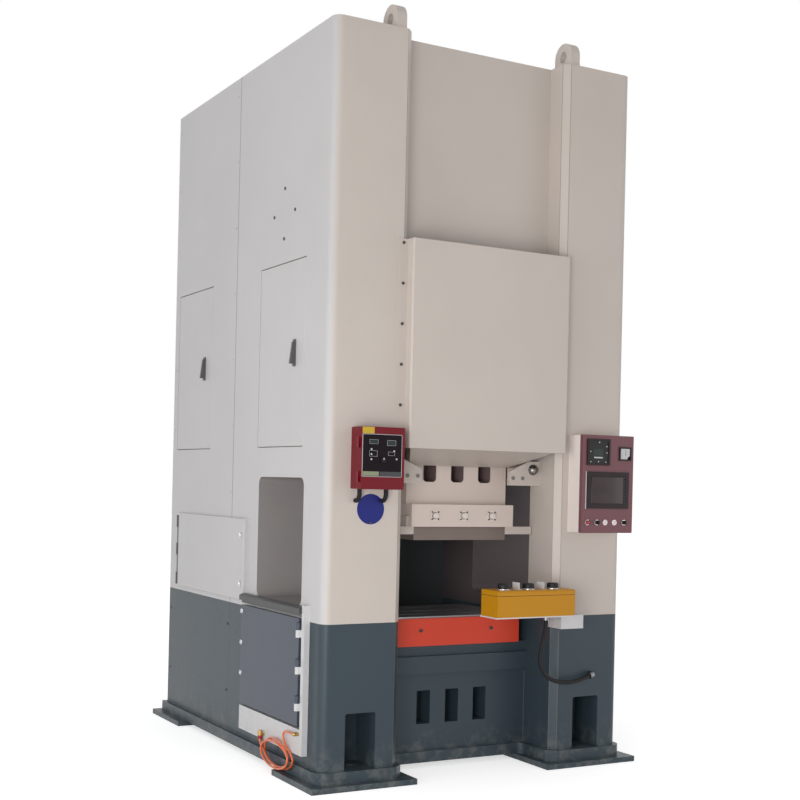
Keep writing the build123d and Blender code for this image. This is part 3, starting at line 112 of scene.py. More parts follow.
# Welds
WELD_R = 0.005
WELD_RIPPLE = 0.011
WELD_RIPPLE_SHARE = 0.13
WELD_SIDES = 8
WELD_RINGS_A_RIPPLE = 4
WELD_NEVER_ALONG = (0.3, 0.5, 0.8)
WELD_CORNER_IN = 0.047
WELD_BEVEL_IN = 0.032
WELD_POCKET_HALF = 0.086
BED_WELD_TOP = 0.48
LUG_IN = 0.038
LUG_T = 0.055
LUG_SETBACK = 0.012
LUG_W = 0.147

# Radius and height of heads and lenses
COVER_BOLT = (0.0085, 0.006)
FRONT_PLATE_SCREW = (0.009, 0.007)
SIDE_PLUG = (0.009, 0.003)
CASING_SCREW = (0.007, 0.004)
CLAMP_SCREW = (0.0045, 0.003)
GIB_SCREW = (0.0105, 0.004)
CATCH_SCREW = (0.007, 0.005)
TRUNKING_SCREW = (0.005, 0.003)
DISC_SCREW = (0.006, 0.004)
TWOHAND_SCREW = (0.006, 0.0035)
MONITOR_LENS = (0.0045, 0.004)
MODULE_LENS = (0.0036, 0.003)

# Places of screws, plugs and louvres on the frame
COVER_T = 0.004
COVER_BOLTS = 5
COVER_BOLT_IN = 0.025
COVER_BOLT_RISE = 0.21
COVER_BOLT_DROP = 0.02
FRONT_PLATE_SCREW_X = 0.215
FRONT_PLATE_SCREW_RISE = 0.081
PLUGS = 4
PLUG_MIDDLE = (-0.463, 2.838)
PLUG_CIRCLE_R = 0.129
CASING_SCREWS = 10
CASING_SCREW_LOW = 0.3
CASING_SCREW_DROP = 0.1
CASING_SCREW_IN = 0.03
BACK_SCREW_IN = 0.06
DOOR_CLEAR = 0.02
LOUVRES = 9
LOUVRE_X = 0.36
LOUVRE_LOW = 2.55
LOUVRE_PITCH = 0.055
LOUVRE_SIZE = (0.42, 0.032, 0.011)
CLAMP_FLANGE_T = 0.005
CLAMP_SCREW_IN = 0.0075
CLAMP_SEAL_R = (0.0163, 0.0185)
CLAMP_SEAL_T = 0.001
GIB_SCREW_X = (0.292, 0.352)
GIB_SCREW_Z = 1.511

# Left side
DOOR_T = 0.02
LATCH_R = 0.017
LATCH_T = 0.005
LATCH_BEVEL = (0.003, 0.002)
LATCH_BAR = (0.006, 0.022)
LATCH_BAR_R = 0.002
LATCH_BAR_T = 0.003
LATCH_IN = 0.04
LATCH_SHARES = (0.2, 0.8)
HINGE_PIN_R = 0.008
HINGE_PIN_OUT = 0.012
HINGE_PIN_SPANS = ((0.8985, 1.0025), (1.0755, 1.1705))
GUARD_OUT = 0.03
CATCH_SIZE = (0.026, 0.024)
CATCH_R = 0.004
CATCH_T = 0.005
CATCH_IN = 0.014
CATCH_HEIGHTS = (0.437, 0.600, 0.767)
TRUNKING_SCREWS = 5
TRUNKING_SCREW_START = 0.33
TRUNKING_SCREW_END = 0.03
TRUNKING_SCREW_RISES = (0.02, 0.105)
TRUNKING_JOINT_IN = 0.17
TRUNKING_JOINT_RISE = 0.0625
TRUNKING_JOINT = (0.004, 0.121)
TRUNKING_JOINT_LAYERS = ((0, -0.001), (0, 0.0012), (0.0006, 0.0016))
SLEEVE_R = (0.0122, 0.0142)
SLEEVE_H = 0.018
SLEEVE_EDGE = 0.001
SLEEVE_RISE = 0.002

# Load monitor: shares are across and down its door
MONITOR_W = 0.232
FACEPLATE_T = 0.0016
FACEPLATE_R = 0.004
FACEPLATE_SHARES = ((0.012, 0.933), (0.119, 0.798))
MONITOR_FRAME_SHARES = ((0.01, 0.935), (0.117, 0.8))
MONITOR_FRAME_W = 0.002
MONITOR_FRAME_T = 0.0022
MONITOR_FRAME_SUNK = 0.0004
LEFT_WINDOW_SHARES = ((0.18, 0.365), (0.21, 0.27))
RIGHT_WINDOW_SHARES = ((0.59, 0.78), (0.215, 0.29))
LEFT_FIELD_SHARES = ((0.18, 0.35), (0.385, 0.47))
RIGHT_FIELD_SHARES = ((0.62, 0.76), (0.40, 0.45))
OUTLINE_W = 0.0009
OUTLINE_T = 0.0007
OUTLINE_OVER = 0.003
LEFT_STRIP_SHARES = ((0.03, 0.40), (0.715, 0.785))
RIGHT_STRIP_SHARES = ((0.42, 0.915), (0.715, 0.785))
STRIP_T = 0.001
PATCH_SHARES = ((0.01, 0.285), (0.005, 0.11))
PATCH_T = 0.0006
KNOB_SHARES = (0.49, 0.53)
KNOB_LIFT = 0.0015
KNOB_R = 0.012
KNOB_H = 0.011
KNOB_BEVEL = (0.0015, 0.002)
KNOB_FLUTES = 9
KNOB_FLUTE_SHARE = 0.06
POINTER_SHARES = ((0.48, 0.50), (0.492, 0.525))
POINTER_T = 0.0012
POINTER_R = 0.0006
POINTER_LIFT = 0.0124
MONITOR_LENS_SHARES = ((0.81, 0.51), (0.22, 0.36), (0.22, 0.44), (0.22, 0.52), (0.75, 0.38))
MONITOR_LENS_LIFT = 0.0012
DISC_MIDDLE = (-0.646, 1.343)
DISC_R = 0.074
DISC_T = 0.002
DISC_EDGE = 0.0008
DISC_SCREW_DROP = 0.066

# Control panel: shares are across and down its door
PANEL_W = 0.335
WELL_LIFT = 0.004
MODULE_SHARES = ((0.08, 0.52), (0.04, 0.31))
MODULE_FACE_SHARES = ((0.085, 0.915), (0.07, 0.93))
MODULE_FACE_T = 0.0006
MODULE_DISPLAY_SHARES = ((0.27, 0.68), (0.38, 0.65))
MODULE_DISPLAY_T = 0.0018
MODULE_BAR_SHARES = ((0.30, 0.68), (0.68, 0.73))
MODULE_BAR_T = 0.0014
MODULE_LENS_SHARES = (
    (0.14, 0.48), (0.86, 0.52), (0.15, 0.87), (0.49, 0.86), (0.82, 0.87), (0.52, 0.13), (0.85, 0.28),
)
METER_SHARES = ((0.735, 0.915), (0.131, 0.239))
METER_T = 0.001
METER_R = 0.002
METER_LIFT = 0.005
METER_CORNER_R = 0.016
METER_CORNER_T = 0.0012
NEEDLE_SHARES = ((0.83, 0.836), (0.15, 0.205))
NEEDLE_T = 0.0006
NEEDLE_R = 0.0003
TICKS = 9
TICK_FOOT_SHARES = (0.88, 0.232)
TICK_ARC = (1.75, 2.95)
TICK_ARC_R = 0.042
TICK_W = 0.0012
TICK_T = 0.0004
SCREEN_SHARES = ((0.175, 0.795), (0.427, 0.698))
SCREEN_T = 0.0015
SCREEN_R = 0.002
SCREEN_EDGE_SHARES = ((0.066, 0.084), (0.372, 0.753))
SCREEN_EDGE_T = 0.0025
KEYS = 9
KEY_SHARES = (0.836, 0.43, 0.695)
KEY_SIZE = (0.012, 0.010)
KEY_R = 0.002
KEY_T = 0.0024
KEY_EDGE = 0.0008
BUTTON_SHARES = (0.115, 0.30, 0.46, 0.64, 0.83)
BUTTON_ROW_SHARE = 0.892
BUTTON_RING_R = (0.0115, 0.0150)
BUTTON_RING_T = 0.003
BUTTON_RING_BEVEL = (0.0008, 0.001)

# Two-hand control
COLLAR_R = (0.0322, 0.0372)
COLLAR_H = 0.005
COLLAR_BEVEL = (0.0008, 0.001)
TWOHAND_SCREW_IN = 0.03
TWOHAND_SCREW_RISE = 0.025
LID_H = 0.026
GASKET_HALF = 0.001
GASKET_DEEP = 0.002
GASKET_OUT = 0.0003

# Noise of the finishes: patches to a metre, and levels of detail
ENAMEL_CLOUD = (1.7, 4)
PAINT_EDGE_WAVES = (9, 2)
DUST_SPECKS = (14, 5)
ENAMEL_SHEEN = (60, 2)
ORANGE_PEEL = (260, 2)
LINING_CLOUD = (5, 4)
GRINDING_LINES = (40, 3, (0.4, 30, 30))
OIL_FILM = (6, 4)
SMUDGES = (22, 4)
PLATING_GRAIN = (500, 2)
CAST_GRAIN = (320, 3)
CAST_CLOUD = (8, 4)
MOULDED_SHEEN = (30, 3)
MOULDED_CLOUD = (12, 3)
MOULDED_GRAIN = 700
GLASS_WIPES = (9, 4, (1, 1, 3))
GLASS_WAVES = (40, 2)

# Depth of what stands up in a finish
ORANGE_PEEL_DEPTH = 0.0004
GRINDING_DEPTH = 0.0002
PLATING_DEPTH = 0.0001
CAST_DEPTH = 0.0008
MOULDED_DEPTH = 0.0002
GLASS_DEPTH = 0.0001
PAINT_EDGE_DEPTH = 0.003

# Dust near the floor, painted shade in the seams, and painted shade and highlight along the bevel edges
DUST_HEIGHT = 0.14
DUST_FADE = 0.26
DUST_SHARE = 0.3
SEAM_SHARE = 0.75
BEVEL_SHADE_SHARE = 0.55

# Routes of the hoses
CONTROL_HOSE_R = 0.011
CONTROL_ROUTE = (
    (0.3081, -1.1550, 0.7890),
    (0.3081, -1.1550, 0.7450),
    (0.2938, -1.1550, 0.6939),
    (0.2828, -1.1520, 0.6359),
    (0.2806, -1.1430, 0.5781),
    (0.3059, -1.1300, 0.5239),
    (0.3632, -1.1130, 0.4808),
    (0.4428, -1.0950, 0.4550),
    (0.5242, -1.0770, 0.4470),
    (0.6038, -1.0590, 0.4531),
    (0.6750, -1.0450, 0.4700),
)
AIR_HOSE_R = 0.0055
LEAD_ROUTE = (
    (-0.9420, -0.8230, 0.2410),
    (-0.9420, -0.7795, 0.2410),
    (-0.9411, -0.7312, 0.2393),
    (-0.9396, -0.7030, 0.2276),
    (-0.9382, -0.6989, 0.2001),
    (-0.9375, -0.7175, 0.1742),
    (-0.9373, -0.7424, 0.1575),
)
TAIL_ROUTE = (
    (-0.9373, -0.4533, 0.0982),
    (-0.9396, -0.4333, 0.1113),
    (-0.9420, -0.4200, 0.1280),
    (-0.9420, -0.4200, 0.1420),
)
COIL_MIDDLE = (-0.618, 0.106)
COIL_HALF = (0.1775, 0.0725)
COIL_START = math.radians(135)
COIL_TURNS = 2.578
COIL_STEPS_A_TURN = 16
LANES = {"wall": -0.9258, "middle": -0.9373, "outside": -0.9530}
COIL_LANES = (
    (0, "middle"), (0.15, "wall"), (0.75, "wall"), (1, "outside"),
    (1.95, "outside"), (2.25, "middle"), (3, "middle"),
)
COIL_SIZES = ((0, 1.0), (0.95, 1.0), (1.2, 0.96), (1.6, 0.93), (1.85, 0.86), (2.6, 0.87))


def linear(red, green, blue):
    """A colour as it is seen, 0 to 255, turned into light."""
    seen = np.array([red, green, blue]) / 255
    light = np.where(seen <= 0.04045, seen / 12.92, ((seen + 0.055) / 1.055) ** 2.4)
    return (*light.tolist(), 1.0)


CREAM = linear(202, 192, 184)
CASING = linear(199, 197, 197)
TEAL = linear(56, 68, 76)
GUARD_TEAL = linear(72, 78, 90)
WHITE = linear(208, 207, 208)
ORANGE = linear(214, 70, 48)
YELLOW = linear(190, 132, 14)
RED = linear(108, 10, 26)
BURGUNDY = linear(116, 74, 80)
BLUE = linear(28, 36, 116)
STEEL = linear(168, 168, 170)
DIE_STEEL = linear(116, 105, 100)
PLATED = linear(196, 196, 200)
DARK_STEEL = linear(70, 70, 72)
IRON = linear(92, 96, 98)
BLACK = linear(30, 30, 32)
GREY = linear(112, 120, 124)
PALE = linear(196, 197, 198)
BUTTON_RED = linear(150, 24, 34)
HOSE_ORANGE = linear(222, 104, 48)
BRASS = linear(190, 156, 92)
DUST = linear(150, 148, 140)
# Painted shade on the insides of the left column's window
LINING_SHADE = linear(150, 145, 143)
# Painted shade inside the slide's slots
SLOT_SHADE = linear(128, 108, 108)
# Painted shade: dark grey for the back plate deep in the die space
BACK_PLATE_SHADE = linear(72, 76, 78)
HANDLE_GREY = linear(92, 90, 90)
CAP_CREAM = linear(226, 214, 206)
# Lighter, slightly warmer copy of the cream: partly the slide's own tone, partly painted light for the slide
# in the cover's shade
SLIDE_LIT_CREAM = linear(214, 200, 191)
# Painted shade, deeper, on the insides of the right column's window and the wall behind it
LINING_DEEP_SHADE = linear(88, 78, 80)
GLAND_GREY = linear(120, 120, 124)
HINGE_GREY = linear(88, 84, 84)
# Painted shade on the cream and painted highlight on the teal, along the bevel edges
BEVEL_SHADE_GREY = linear(112, 106, 102)
# Lighter copy of the cream for the control box: painted light standing in for strong side light
BOX_LIT_CREAM = linear(234, 224, 219)
DOME = linear(132, 128, 126)
SCREEN = linear(56, 42, 44)
LCD = linear(40, 52, 48)
BEZEL = linear(40, 30, 32)
FACE = linear(24, 18, 23)
LENS = linear(232, 214, 212)
PATCH_TONE = linear(196, 164, 52)
STRIP = linear(132, 138, 112)
FLOOR_PALE = linear(240, 240, 240)
SHADOW = (0.01, 0.01, 0.01, 1)


# Shader maths

class Shade:
    """One value or colour of a material. Python's operators on values add Math nodes."""

    def __init__(self, tree, socket):
        self.tree = tree
        self.socket = socket

    def node(self, kind, settings=None, inputs=None, out=0):
        """Any node: its settings first, then the values or links of its sockets, by name or number."""
        made = self.tree.nodes.new(kind)
        for name, value in (settings or {}).items():
            setattr(made, name, value)
        for name, value in (inputs or {}).items():
            if isinstance(value, Shade):
                self.tree.links.new(value.socket, made.inputs[name])
            else:
                made.inputs[name].default_value = value
        return Shade(self.tree, made.outputs[out])

    def math(self, operation, *values):
        """A Math node on up to three values."""
        return self.node("ShaderNodeMath", {"operation": operation}, dict(enumerate(values)))

    def __add__(self, other):
        return self.math("ADD", self, other)

    def __radd__(self, other):
        return self.math("ADD", other, self)

    def __sub__(self, other):
        return self.math("SUBTRACT", self, other)

    def __rsub__(self, other):
        return self.math("SUBTRACT", other, self)

    def __mul__(self, other):
        return self.math("MULTIPLY", self, other)

    def __rmul__(self, other):
        return self.math("MULTIPLY", other, self)

    def __abs__(self):
        return self.math("ABSOLUTE", self)

    def step(self, edge, width):
        """0 below edge, 1 above it, with a soft change of that width."""
        inputs = {"Value": self, "From Min": edge - width / 2, "From Max": edge + width / 2}
        return self.node("ShaderNodeMapRange", {"interpolation_type": "SMOOTHSTEP"}, inputs)

    def mix(self, one, other):
        """From one colour to the other as this value goes from 0 to 1."""
        return self.node("ShaderNodeMix", {"data_type": "RGBA"}, {0: self, 6: one, 7: other}, out=2)

    def grey(self):
        """This value as a colour."""
        return self.node("ShaderNodeCombineColor", None, {0: self, 1: self, 2: self})


class Finish(Shade):
    """A new material. Its own value is the Object coordinate of the piece."""

    def __init__(self, name):
        self.material = bpy.data.materials.new(name)
        self.material.use_nodes = True
        tree = self.material.node_tree
        self.shader = tree.nodes["Principled BSDF"]
        coordinate = tree.nodes.new("ShaderNodeTexCoord")
        super().__init__(tree, coordinate.outputs["Object"])
        split = tree.nodes.new("ShaderNodeSeparateXYZ")
        tree.links.new(self.socket, split.inputs[0])
        self.x, self.y, self.z = (Shade(tree, socket) for socket in split.outputs)

    def noise(self, scale, detail=3, stretch=(1, 1, 1), rough=0.5):
        """Cloudy noise, about 0.5 on average; stretch packs it closer along an axis."""
        point = self.node("ShaderNodeMapping", None, {"Vector": self, "Scale": stretch})
        inputs = {"Vector": point, "Scale": scale, "Detail": detail, "Roughness": rough}
        return self.node("ShaderNodeTexNoise", None, inputs)

    def done(self, colour, roughness, metallic=0.0, height=None, depth=0.0, coat=0.0, shine=0.5):
        """Sets what the surface shows: constants on the sockets, values as links."""
        parts = {"Base Color": colour, "Roughness": roughness, "Metallic": metallic, "Coat Weight": coat}
        for name, value in parts.items():
            if isinstance(value, Shade):
                self.tree.links.new(value.socket, self.shader.inputs[name])
            else:
                self.shader.inputs[name].default_value = value
        self.shader.inputs["Specular IOR Level"].default_value = shine
        if height is not None:
            bump = self.node("ShaderNodeBump", None, {"Height": height, "Distance": depth})
            self.tree.links.new(bump.socket, self.shader.inputs["Normal"])
        return self.material


# Finishes

def toned(coat, colour, cloud, amount):
    """A colour made a little lighter and darker by a cloud of noise."""
    shade = ((cloud - 0.5) * amount + 1).grey()
    settings = {"data_type": "RGBA", "blend_type": "MULTIPLY"}
    return coat.node("ShaderNodeMix", settings, {0: 1.0, 6: colour, 7: shade}, out=2)


def enamel(name, upper, lower=None, gloss=0.36, seam=None, part=None, edges=None, side=None):
    """Sprayed enamel with fine orange peel, a cloudy tone and dust near the floor.

    lower is the colour under the paint line, side the one on the machine's sides, and seam the place of a
    dark joint along Y, painted with shade. edges says where shade and highlight are painted along edges.
    part gives
    another finish for some of the piece: where it is, its colour, its roughness and how far it is metal.
    """
    coat = Finish(name)
    cloud = coat.noise(*ENAMEL_CLOUD)
    colour = upper
    if side is not None:
        colour = abs(coat.x).step(SIDE_X - SIDE_IN, SIDE_FADE).mix(upper, side)
    if lower is not None:
        edge = coat.z + (coat.noise(*PAINT_EDGE_WAVES) - 0.5) * PAINT_EDGE_DEPTH
        colour = edge.step(PAINT_LINE, PAINT_FADE).mix(lower, colour)
    colour = toned(coat, colour, cloud, 0.14)
    specks = coat.noise(*DUST_SPECKS, rough=0.65).step(0.56, 0.25)
    low = (1 - coat.z.step(DUST_HEIGHT, DUST_FADE)) * specks * DUST_SHARE
    colour = low.mix(colour, DUST)
    # Painted shade: a dark line in the gap of the joint at the seam
    if seam is not None:
        line = 1 - abs(coat.y - seam).step(SEAM_HALF, SEAM_FADE)
        colour = (line * SEAM_SHARE).mix(colour, SHADOW)
    rough = (coat.noise(*ENAMEL_SHEEN) - 0.5) * 0.12 + (cloud - 0.5) * 0.1 + low * 0.3 + gloss
    metal = 0.0
    # Painted shade and highlight along the bevel edges
    if edges is not None:
        colour = (edges(coat) * BEVEL_SHADE_SHARE).mix(colour, BEVEL_SHADE_GREY)
    if part is not None:
        where, tone, part_gloss, part_metal = part
        mask = where(coat)
        colour = mask.mix(colour, toned(coat, tone, coat.noise(*LINING_CLOUD), 0.2))
        rough = rough + mask * (part_gloss - gloss)
        metal = mask * part_metal
    peel = coat.noise(*ORANGE_PEEL)
    return coat.done(colour, rough, metal, height=peel, depth=ORANGE_PEEL_DEPTH, shine=0.28)


def window_insides(coat):
    """1 on the inner faces of a column's window."""
    inside = 1 - abs(abs(coat.x) - COLUMN_X).step(COLUMN_HALF - SKIN, SKIN)
    along = 1 - abs(coat.y - WINDOW_MIDDLE[0]).step(WINDOW_HALF[0] + SKIN, FADE)
    up = 1 - abs(coat.z - WINDOW_MIDDLE[1]).step(WINDOW_HALF[1] + SKIN, FADE)
    return inside * along * up


def painted_shade_inside(coat):
    """1 where shade is painted: on the inner faces of a column's window and on the inner wall behind its
    front edge.
    """
    wall = 1 - abs(coat.x).step(OPENING_X + SKIN, FADE)
    behind = coat.y.step(WINDOW_MIDDLE[0] - WINDOW_HALF[0], FADE)
    above = coat.z.step(PAINT_LINE, PAINT_FADE)
    below = 1 - coat.z.step(WINDOW_MIDDLE[1] + WINDOW_HALF[1], SKIN)
    return coat.math("MAXIMUM", window_insides(coat), wall * behind * above * below)


def bevel_edge_shading(coat):
    """1 along the two edges of the bevel at each column's inner corner, where shade is painted on the cream
    and a highlight on the teal.
    """
    front = 1 - abs(abs(coat.x) - OPENING_X - INNER_BEVEL).step(BEVEL_LINE, FADE)
    back = 1 - abs(coat.y - FRONT_Y - INNER_BEVEL).step(BEVEL_LINE, FADE)
    outer = 1 - coat.y.step(FRONT_Y + 2 * SKIN, FADE)
    inner = 1 - abs(coat.x).step(OPENING_X + 2 * SKIN, FADE)
    return front * outer + back * inner


def door_hinges(coat):
    """1 on the halves of the lower door's hinges."""
    return coat.y.step(BOX["lower_side_door"][1, 1] - HINGE_LEAF, FADE)


def slot_shading(coat):
    """1 inside the three slots of the slide, where shade is painted."""
    inside = 1 - abs(coat.x).step(SLOT_REACH, SKIN)
    deep = abs(coat.y - SLOT_MIDDLE[0]).step(SLOT_HALF[0], SKIN)
    up = abs(coat.z - SLOT_MIDDLE[1]).step(SLOT_HALF[1], SKIN)
    return inside * (1 - deep) * (1 - up)


def dome(coat):
    """1 on the domed bolts of the guide blocks."""
    across = abs(coat.x) - GIB_BOLT[0]
    rise = coat.z - GIB_BOLT[2]
    apart = coat.math("SQRT", across * across + rise * rise)
    return (1 - apart.step(GIB_BOLT_R, FADE)) * (1 - coat.y.step(GIB_BOLT[1] - FADE, FADE))


def ground(name, colour, gloss=0.34):
    """Ground steel: fine lines along X, and a thin uneven film of oil."""
    coat = Finish(name)
    lines = coat.noise(*GRINDING_LINES)
    film = coat.noise(*OIL_FILM)
    tone = toned(coat, colour, film, 0.35)
    rough = (lines - 0.5) * 0.2 + (film - 0.5) * 0.2 + gloss
    return coat.done(tone, rough, metallic=1.0, height=lines, depth=GRINDING_DEPTH)


def plated(name, colour, gloss=0.2):
    """Bright plating with faint smudges."""
    coat = Finish(name)
    smudge = coat.noise(*SMUDGES)
    rough = (smudge - 0.5) * 0.18 + gloss
    tone = toned(coat, colour, smudge, 0.16)
    return coat.done(tone, rough, metallic=1.0, height=coat.noise(*PLATING_GRAIN), depth=PLATING_DEPTH)


def cast(name, colour):
    """As-cast iron: grainy skin in an uneven tone."""
    coat = Finish(name)
    grain = coat.noise(*CAST_GRAIN)
    rough = (grain - 0.5) * 0.2 + 0.55
    tone = toned(coat, colour, coat.noise(*CAST_CLOUD), 0.4)
    return coat.done(tone, rough, metallic=0.6, height=grain, depth=CAST_DEPTH)


def plastic(name, colour, gloss=0.42, grain=MOULDED_GRAIN, depth=MOULDED_DEPTH, coat_weight=0.0, shine=0.5):
    """Moulded plastic or rubber: a fine even grain and a faint change of tone."""
    coat = Finish(name)
    skin = coat.noise(grain, 2)
    rough = (coat.noise(*MOULDED_SHEEN) - 0.5) * 0.14 + gloss
    tone = toned(coat, colour, coat.noise(*MOULDED_CLOUD), 0.12)
    return coat.done(tone, rough, height=skin, depth=depth, coat=coat_weight, shine=shine)


def panel_plastic(name):
    """Black bezels, and the pale caps of the two lamps below them."""
    coat = Finish(name)
    lens = 1 - coat.z.step(LAMP_TOP, SKIN)
    colour = lens.mix(toned(coat, BEZEL, coat.noise(*MOULDED_CLOUD), 0.12), LENS)
    rough = (coat.noise(*MOULDED_SHEEN) - 0.5) * 0.14 + 0.42 - lens * 0.18
    return coat.done(colour, rough, height=coat.noise(MOULDED_GRAIN, 2), depth=MOULDED_DEPTH, shine=0.2)


def glass(name, colour):
    """Dark glass of a display, wiped and a little uneven."""
    coat = Finish(name)
    wipe = coat.noise(*GLASS_WIPES)
    rough = (wipe - 0.5) * 0.1 + 0.12
    tone = toned(coat, colour, wipe, 0.3)
    waves = coat.noise(*GLASS_WAVES)
    return coat.done(tone, rough, height=waves, depth=GLASS_DEPTH, coat=0.12, shine=0.25)


FINISHES = {
    "cream_paint": enamel("cream_enamel", CREAM, TEAL, seam=SEAM_Y),
    "casing_paint": enamel("casing_enamel", CASING, TEAL, seam=SEAM_Y),
    "teal_paint": enamel("teal_enamel", TEAL),
    "white_paint": enamel("white_enamel", WHITE, gloss=0.4),
    "orange_paint": enamel("orange_enamel", ORANGE),
    "yellow_paint": enamel("yellow_enamel", YELLOW),
    "red_paint": enamel("red_enamel", RED),
    "burgundy_paint": enamel("burgundy_enamel", BURGUNDY),
    "grey_paint": enamel("grey_enamel", GREY),
    "dark_steel": enamel("dark_enamel", DARK_STEEL),
    "ground_steel": ground("ground_steel", STEEL),
    "plated_steel": plated("plated_steel", PLATED),
    "cast_metal": cast("cast_iron", IRON),
    "black_rubber": plastic("black_rubber", BLACK, 0.62, 400, 0.0003, shine=0.2),
    "black_plastic": plastic("black_plastic", BLACK, shine=0.25),
    "pale_plastic": plastic("pale_plastic", PALE),
    "red_plastic": plastic("red_plastic", BUTTON_RED, 0.25),
    "orange_hose": plastic("orange_hose", HOSE_ORANGE, 0.3, 500, 0.0001, 0.2),
    "brass_fitting": plated("brass", BRASS, 0.28),
}


def column(name, inside_shade):
    """Enamel of a column: cream in front, the casing's tone on its side, teal below, and painted shade on
    its window's insides.
    """
    return enamel(name, CREAM, TEAL, seam=SEAM_Y, part=inside_shade, edges=bevel_edge_shading, side=CASING)


# Both columns carry painted shade on their window insides, deeper on the right
LEFT_COLUMN = column("left_column", (window_insides, LINING_SHADE, 0.55, 0.0))
RIGHT_COLUMN = column("right_column", (painted_shade_inside, LINING_DEEP_SHADE, 0.55, 0.0))
PANEL_PLASTIC = panel_plastic("panel_plastic")
SCREEN_GLASS = glass("screen_glass", SCREEN)
LCD_GLASS = glass("lcd_glass", LCD)
DISC_BLUE = enamel("disc_blue", BLUE)
SCREW_GREY = enamel("screw_grey", DOME)
FACE_BLACK = plastic("face_black", FACE, 0.5, shine=0.1)
PATCH_YELLOW = enamel("patch_yellow", PATCH_TONE)
STRIP_GREEN = plastic("strip_green", STRIP)
HANDLE_PLASTIC = plastic("handle_plastic", HANDLE_GREY, shine=0.3)
OWN_FINISH = {
    "front_door_handle": HANDLE_PLASTIC,
    "rear_door_handle": HANDLE_PLASTIC,
    "left_upright": LEFT_COLUMN,
    "right_upright": RIGHT_COLUMN,
    # The slide carries painted shade inside its slots
    "slide": enamel("slide_enamel", SLIDE_LIT_CREAM, part=(slot_shading, SLOT_SHADE, 0.6, 0.0)),
    "guard_panel": enamel("guard_enamel", GUARD_TEAL),
    "gib_blocks": enamel("gib_enamel", CREAM, part=(dome, DOME, 0.16, 1.0)),
    "panel_displays": PANEL_PLASTIC,
    "clamp_bolts": enamel("cap_enamel", CAP_CREAM),
    "die_space_back_plate": enamel("back_plate_shade_enamel", BACK_PLATE_SHADE),
    "hose_glands": plated("gland_plating", GLAND_GREY, 0.3),
    "control_box": enamel("box_enamel", BOX_LIT_CREAM),
    "lower_side_door": enamel("door_enamel", CASING, part=(door_hinges, HINGE_GREY, 0.5, 0.0)),
    "hinge_knuckles": enamel("hinge_enamel", WHITE, part=(door_hinges, HINGE_GREY, 0.5, 0.0)),
    "upper_die_plate": ground("die_steel", DIE_STEEL, 0.5),
}

for name, node in NODES.items():
    node.data.materials.clear()
    node.data.materials.append(OWN_FINISH.get(name, FINISHES[SLOTS[name]]))


# Surfaces

FACES = {
    "front": ((1, 0, 0), (0, 0, 1), (0, -1, 0)),
    "back": ((-1, 0, 0), (0, 0, 1), (0, 1, 0)),
    "left": ((0, -1, 0), (0, 0, 1), (-1, 0, 0)),
    "right": ((0, 1, 0), (0, 0, 1), (1, 0, 0)),
    "top": ((1, 0, 0), (0, 1, 0), (0, 0, 1)),
}


def turned(outline, places, face, sides=24):
    """Pairs of radius and height turned about each place.

    A point is the place, plus the radius times (cos t across + sin t up), plus the height outwards.
    """
    across, up, out = np.array(FACES[face], float)
    t = np.arange(sides) / sides * TURN
    ring = np.cos(t)[:, None] * across + np.sin(t)[:, None] * up
    radius, height = np.array(outline).T
    grid = radius[:, None, None] * ring + height[:, None, None] * out
    return np.array(places, float).reshape(-1, 1, 1, 3) + grid


def plate(places, size, corner, layers, face, closed=True, sides=24):
    """A rounded rectangle, pulled in and lifted by each layer's inset and height; closed adds flat ends.

    A point is the corner's middle, by the signs of cos t and sin t, plus the corner's radius times them.
    """
    across, up, out = np.array(FACES[face], float)
    t = (np.arange(sides) + 0.5) / sides * TURN
    inset, height = np.array(layers).T
    arc = np.maximum(corner - inset, corner * 0.2)[:, None]
    half = np.array(size) / 2
    u = np.sign(np.cos(t)) * (half[0] - inset[:, None] - arc) + arc * np.cos(t)
    v = np.sign(np.sin(t)) * (half[1] - inset[:, None] - arc) + arc * np.sin(t)
    if closed:
        u = np.vstack([u[:1] * 0, u, u[:1] * 0])
        v = np.vstack([v[:1] * 0, v, v[:1] * 0])
        height = np.concatenate([height[:1], height, height[-1:]])
    grid = u[..., None] * across + v[..., None] * up + height[:, None, None] * out
    return np.array(places, float).reshape(-1, 1, 1, 3) + grid


def bead(start, end):
    """A weld: rings round a straight line.

    Their radius ripples as the cosine of the way along, and closes as a square root at both ends.
    """
    start, end = np.array(start, float), np.array(end, float)
    length = np.linalg.norm(end - start)
    along = (end - start) / length
    side = np.cross(along, WELD_NEVER_ALONG)
    side /= np.linalg.norm(side)
    other = np.cross(along, side)
    s = np.linspace(0, length, max(int(length / WELD_RIPPLE * WELD_RINGS_A_RIPPLE), WELD_SIDES))
    ends = np.sqrt(np.clip(np.minimum(s, length - s) / WELD_R, 0, 1))
    size = WELD_R * (1 + WELD_RIPPLE_SHARE * np.cos(s / WELD_RIPPLE * TURN)) * ends
    t = np.arange(WELD_SIDES) / WELD_SIDES * TURN
    ring = np.cos(t)[:, None] * side + np.sin(t)[:, None] * other
    return (start + s[:, None, None] * along + size[:, None, None] * ring)[None]


def louvre(places, width, height, reach, face):
    """A pressed hood: it stands out by its reach times the square root of 1 - v, at v of its height.

    Across its width that falls to nothing at both ends, as the square root of 1 - u to the sixth.
    """
    across, up, out = np.array(FACES[face], float)
    u = np.linspace(-1, 1, 25)[:, None]
    v = np.linspace(0, 1, 9)[None, :]
    swell = np.sqrt(np.clip(1 - u ** 6, 0, 1))
    lift = reach * swell * np.sqrt(1 - v)
    back = (u * width / 2)[..., None] * across + (v * height)[..., None] * up
    front = back + lift[..., None] * out
    grid = np.concatenate([front, back[:, ::-1]], axis=1)
    return np.array(places, float).reshape(-1, 1, 1, 3) + grid


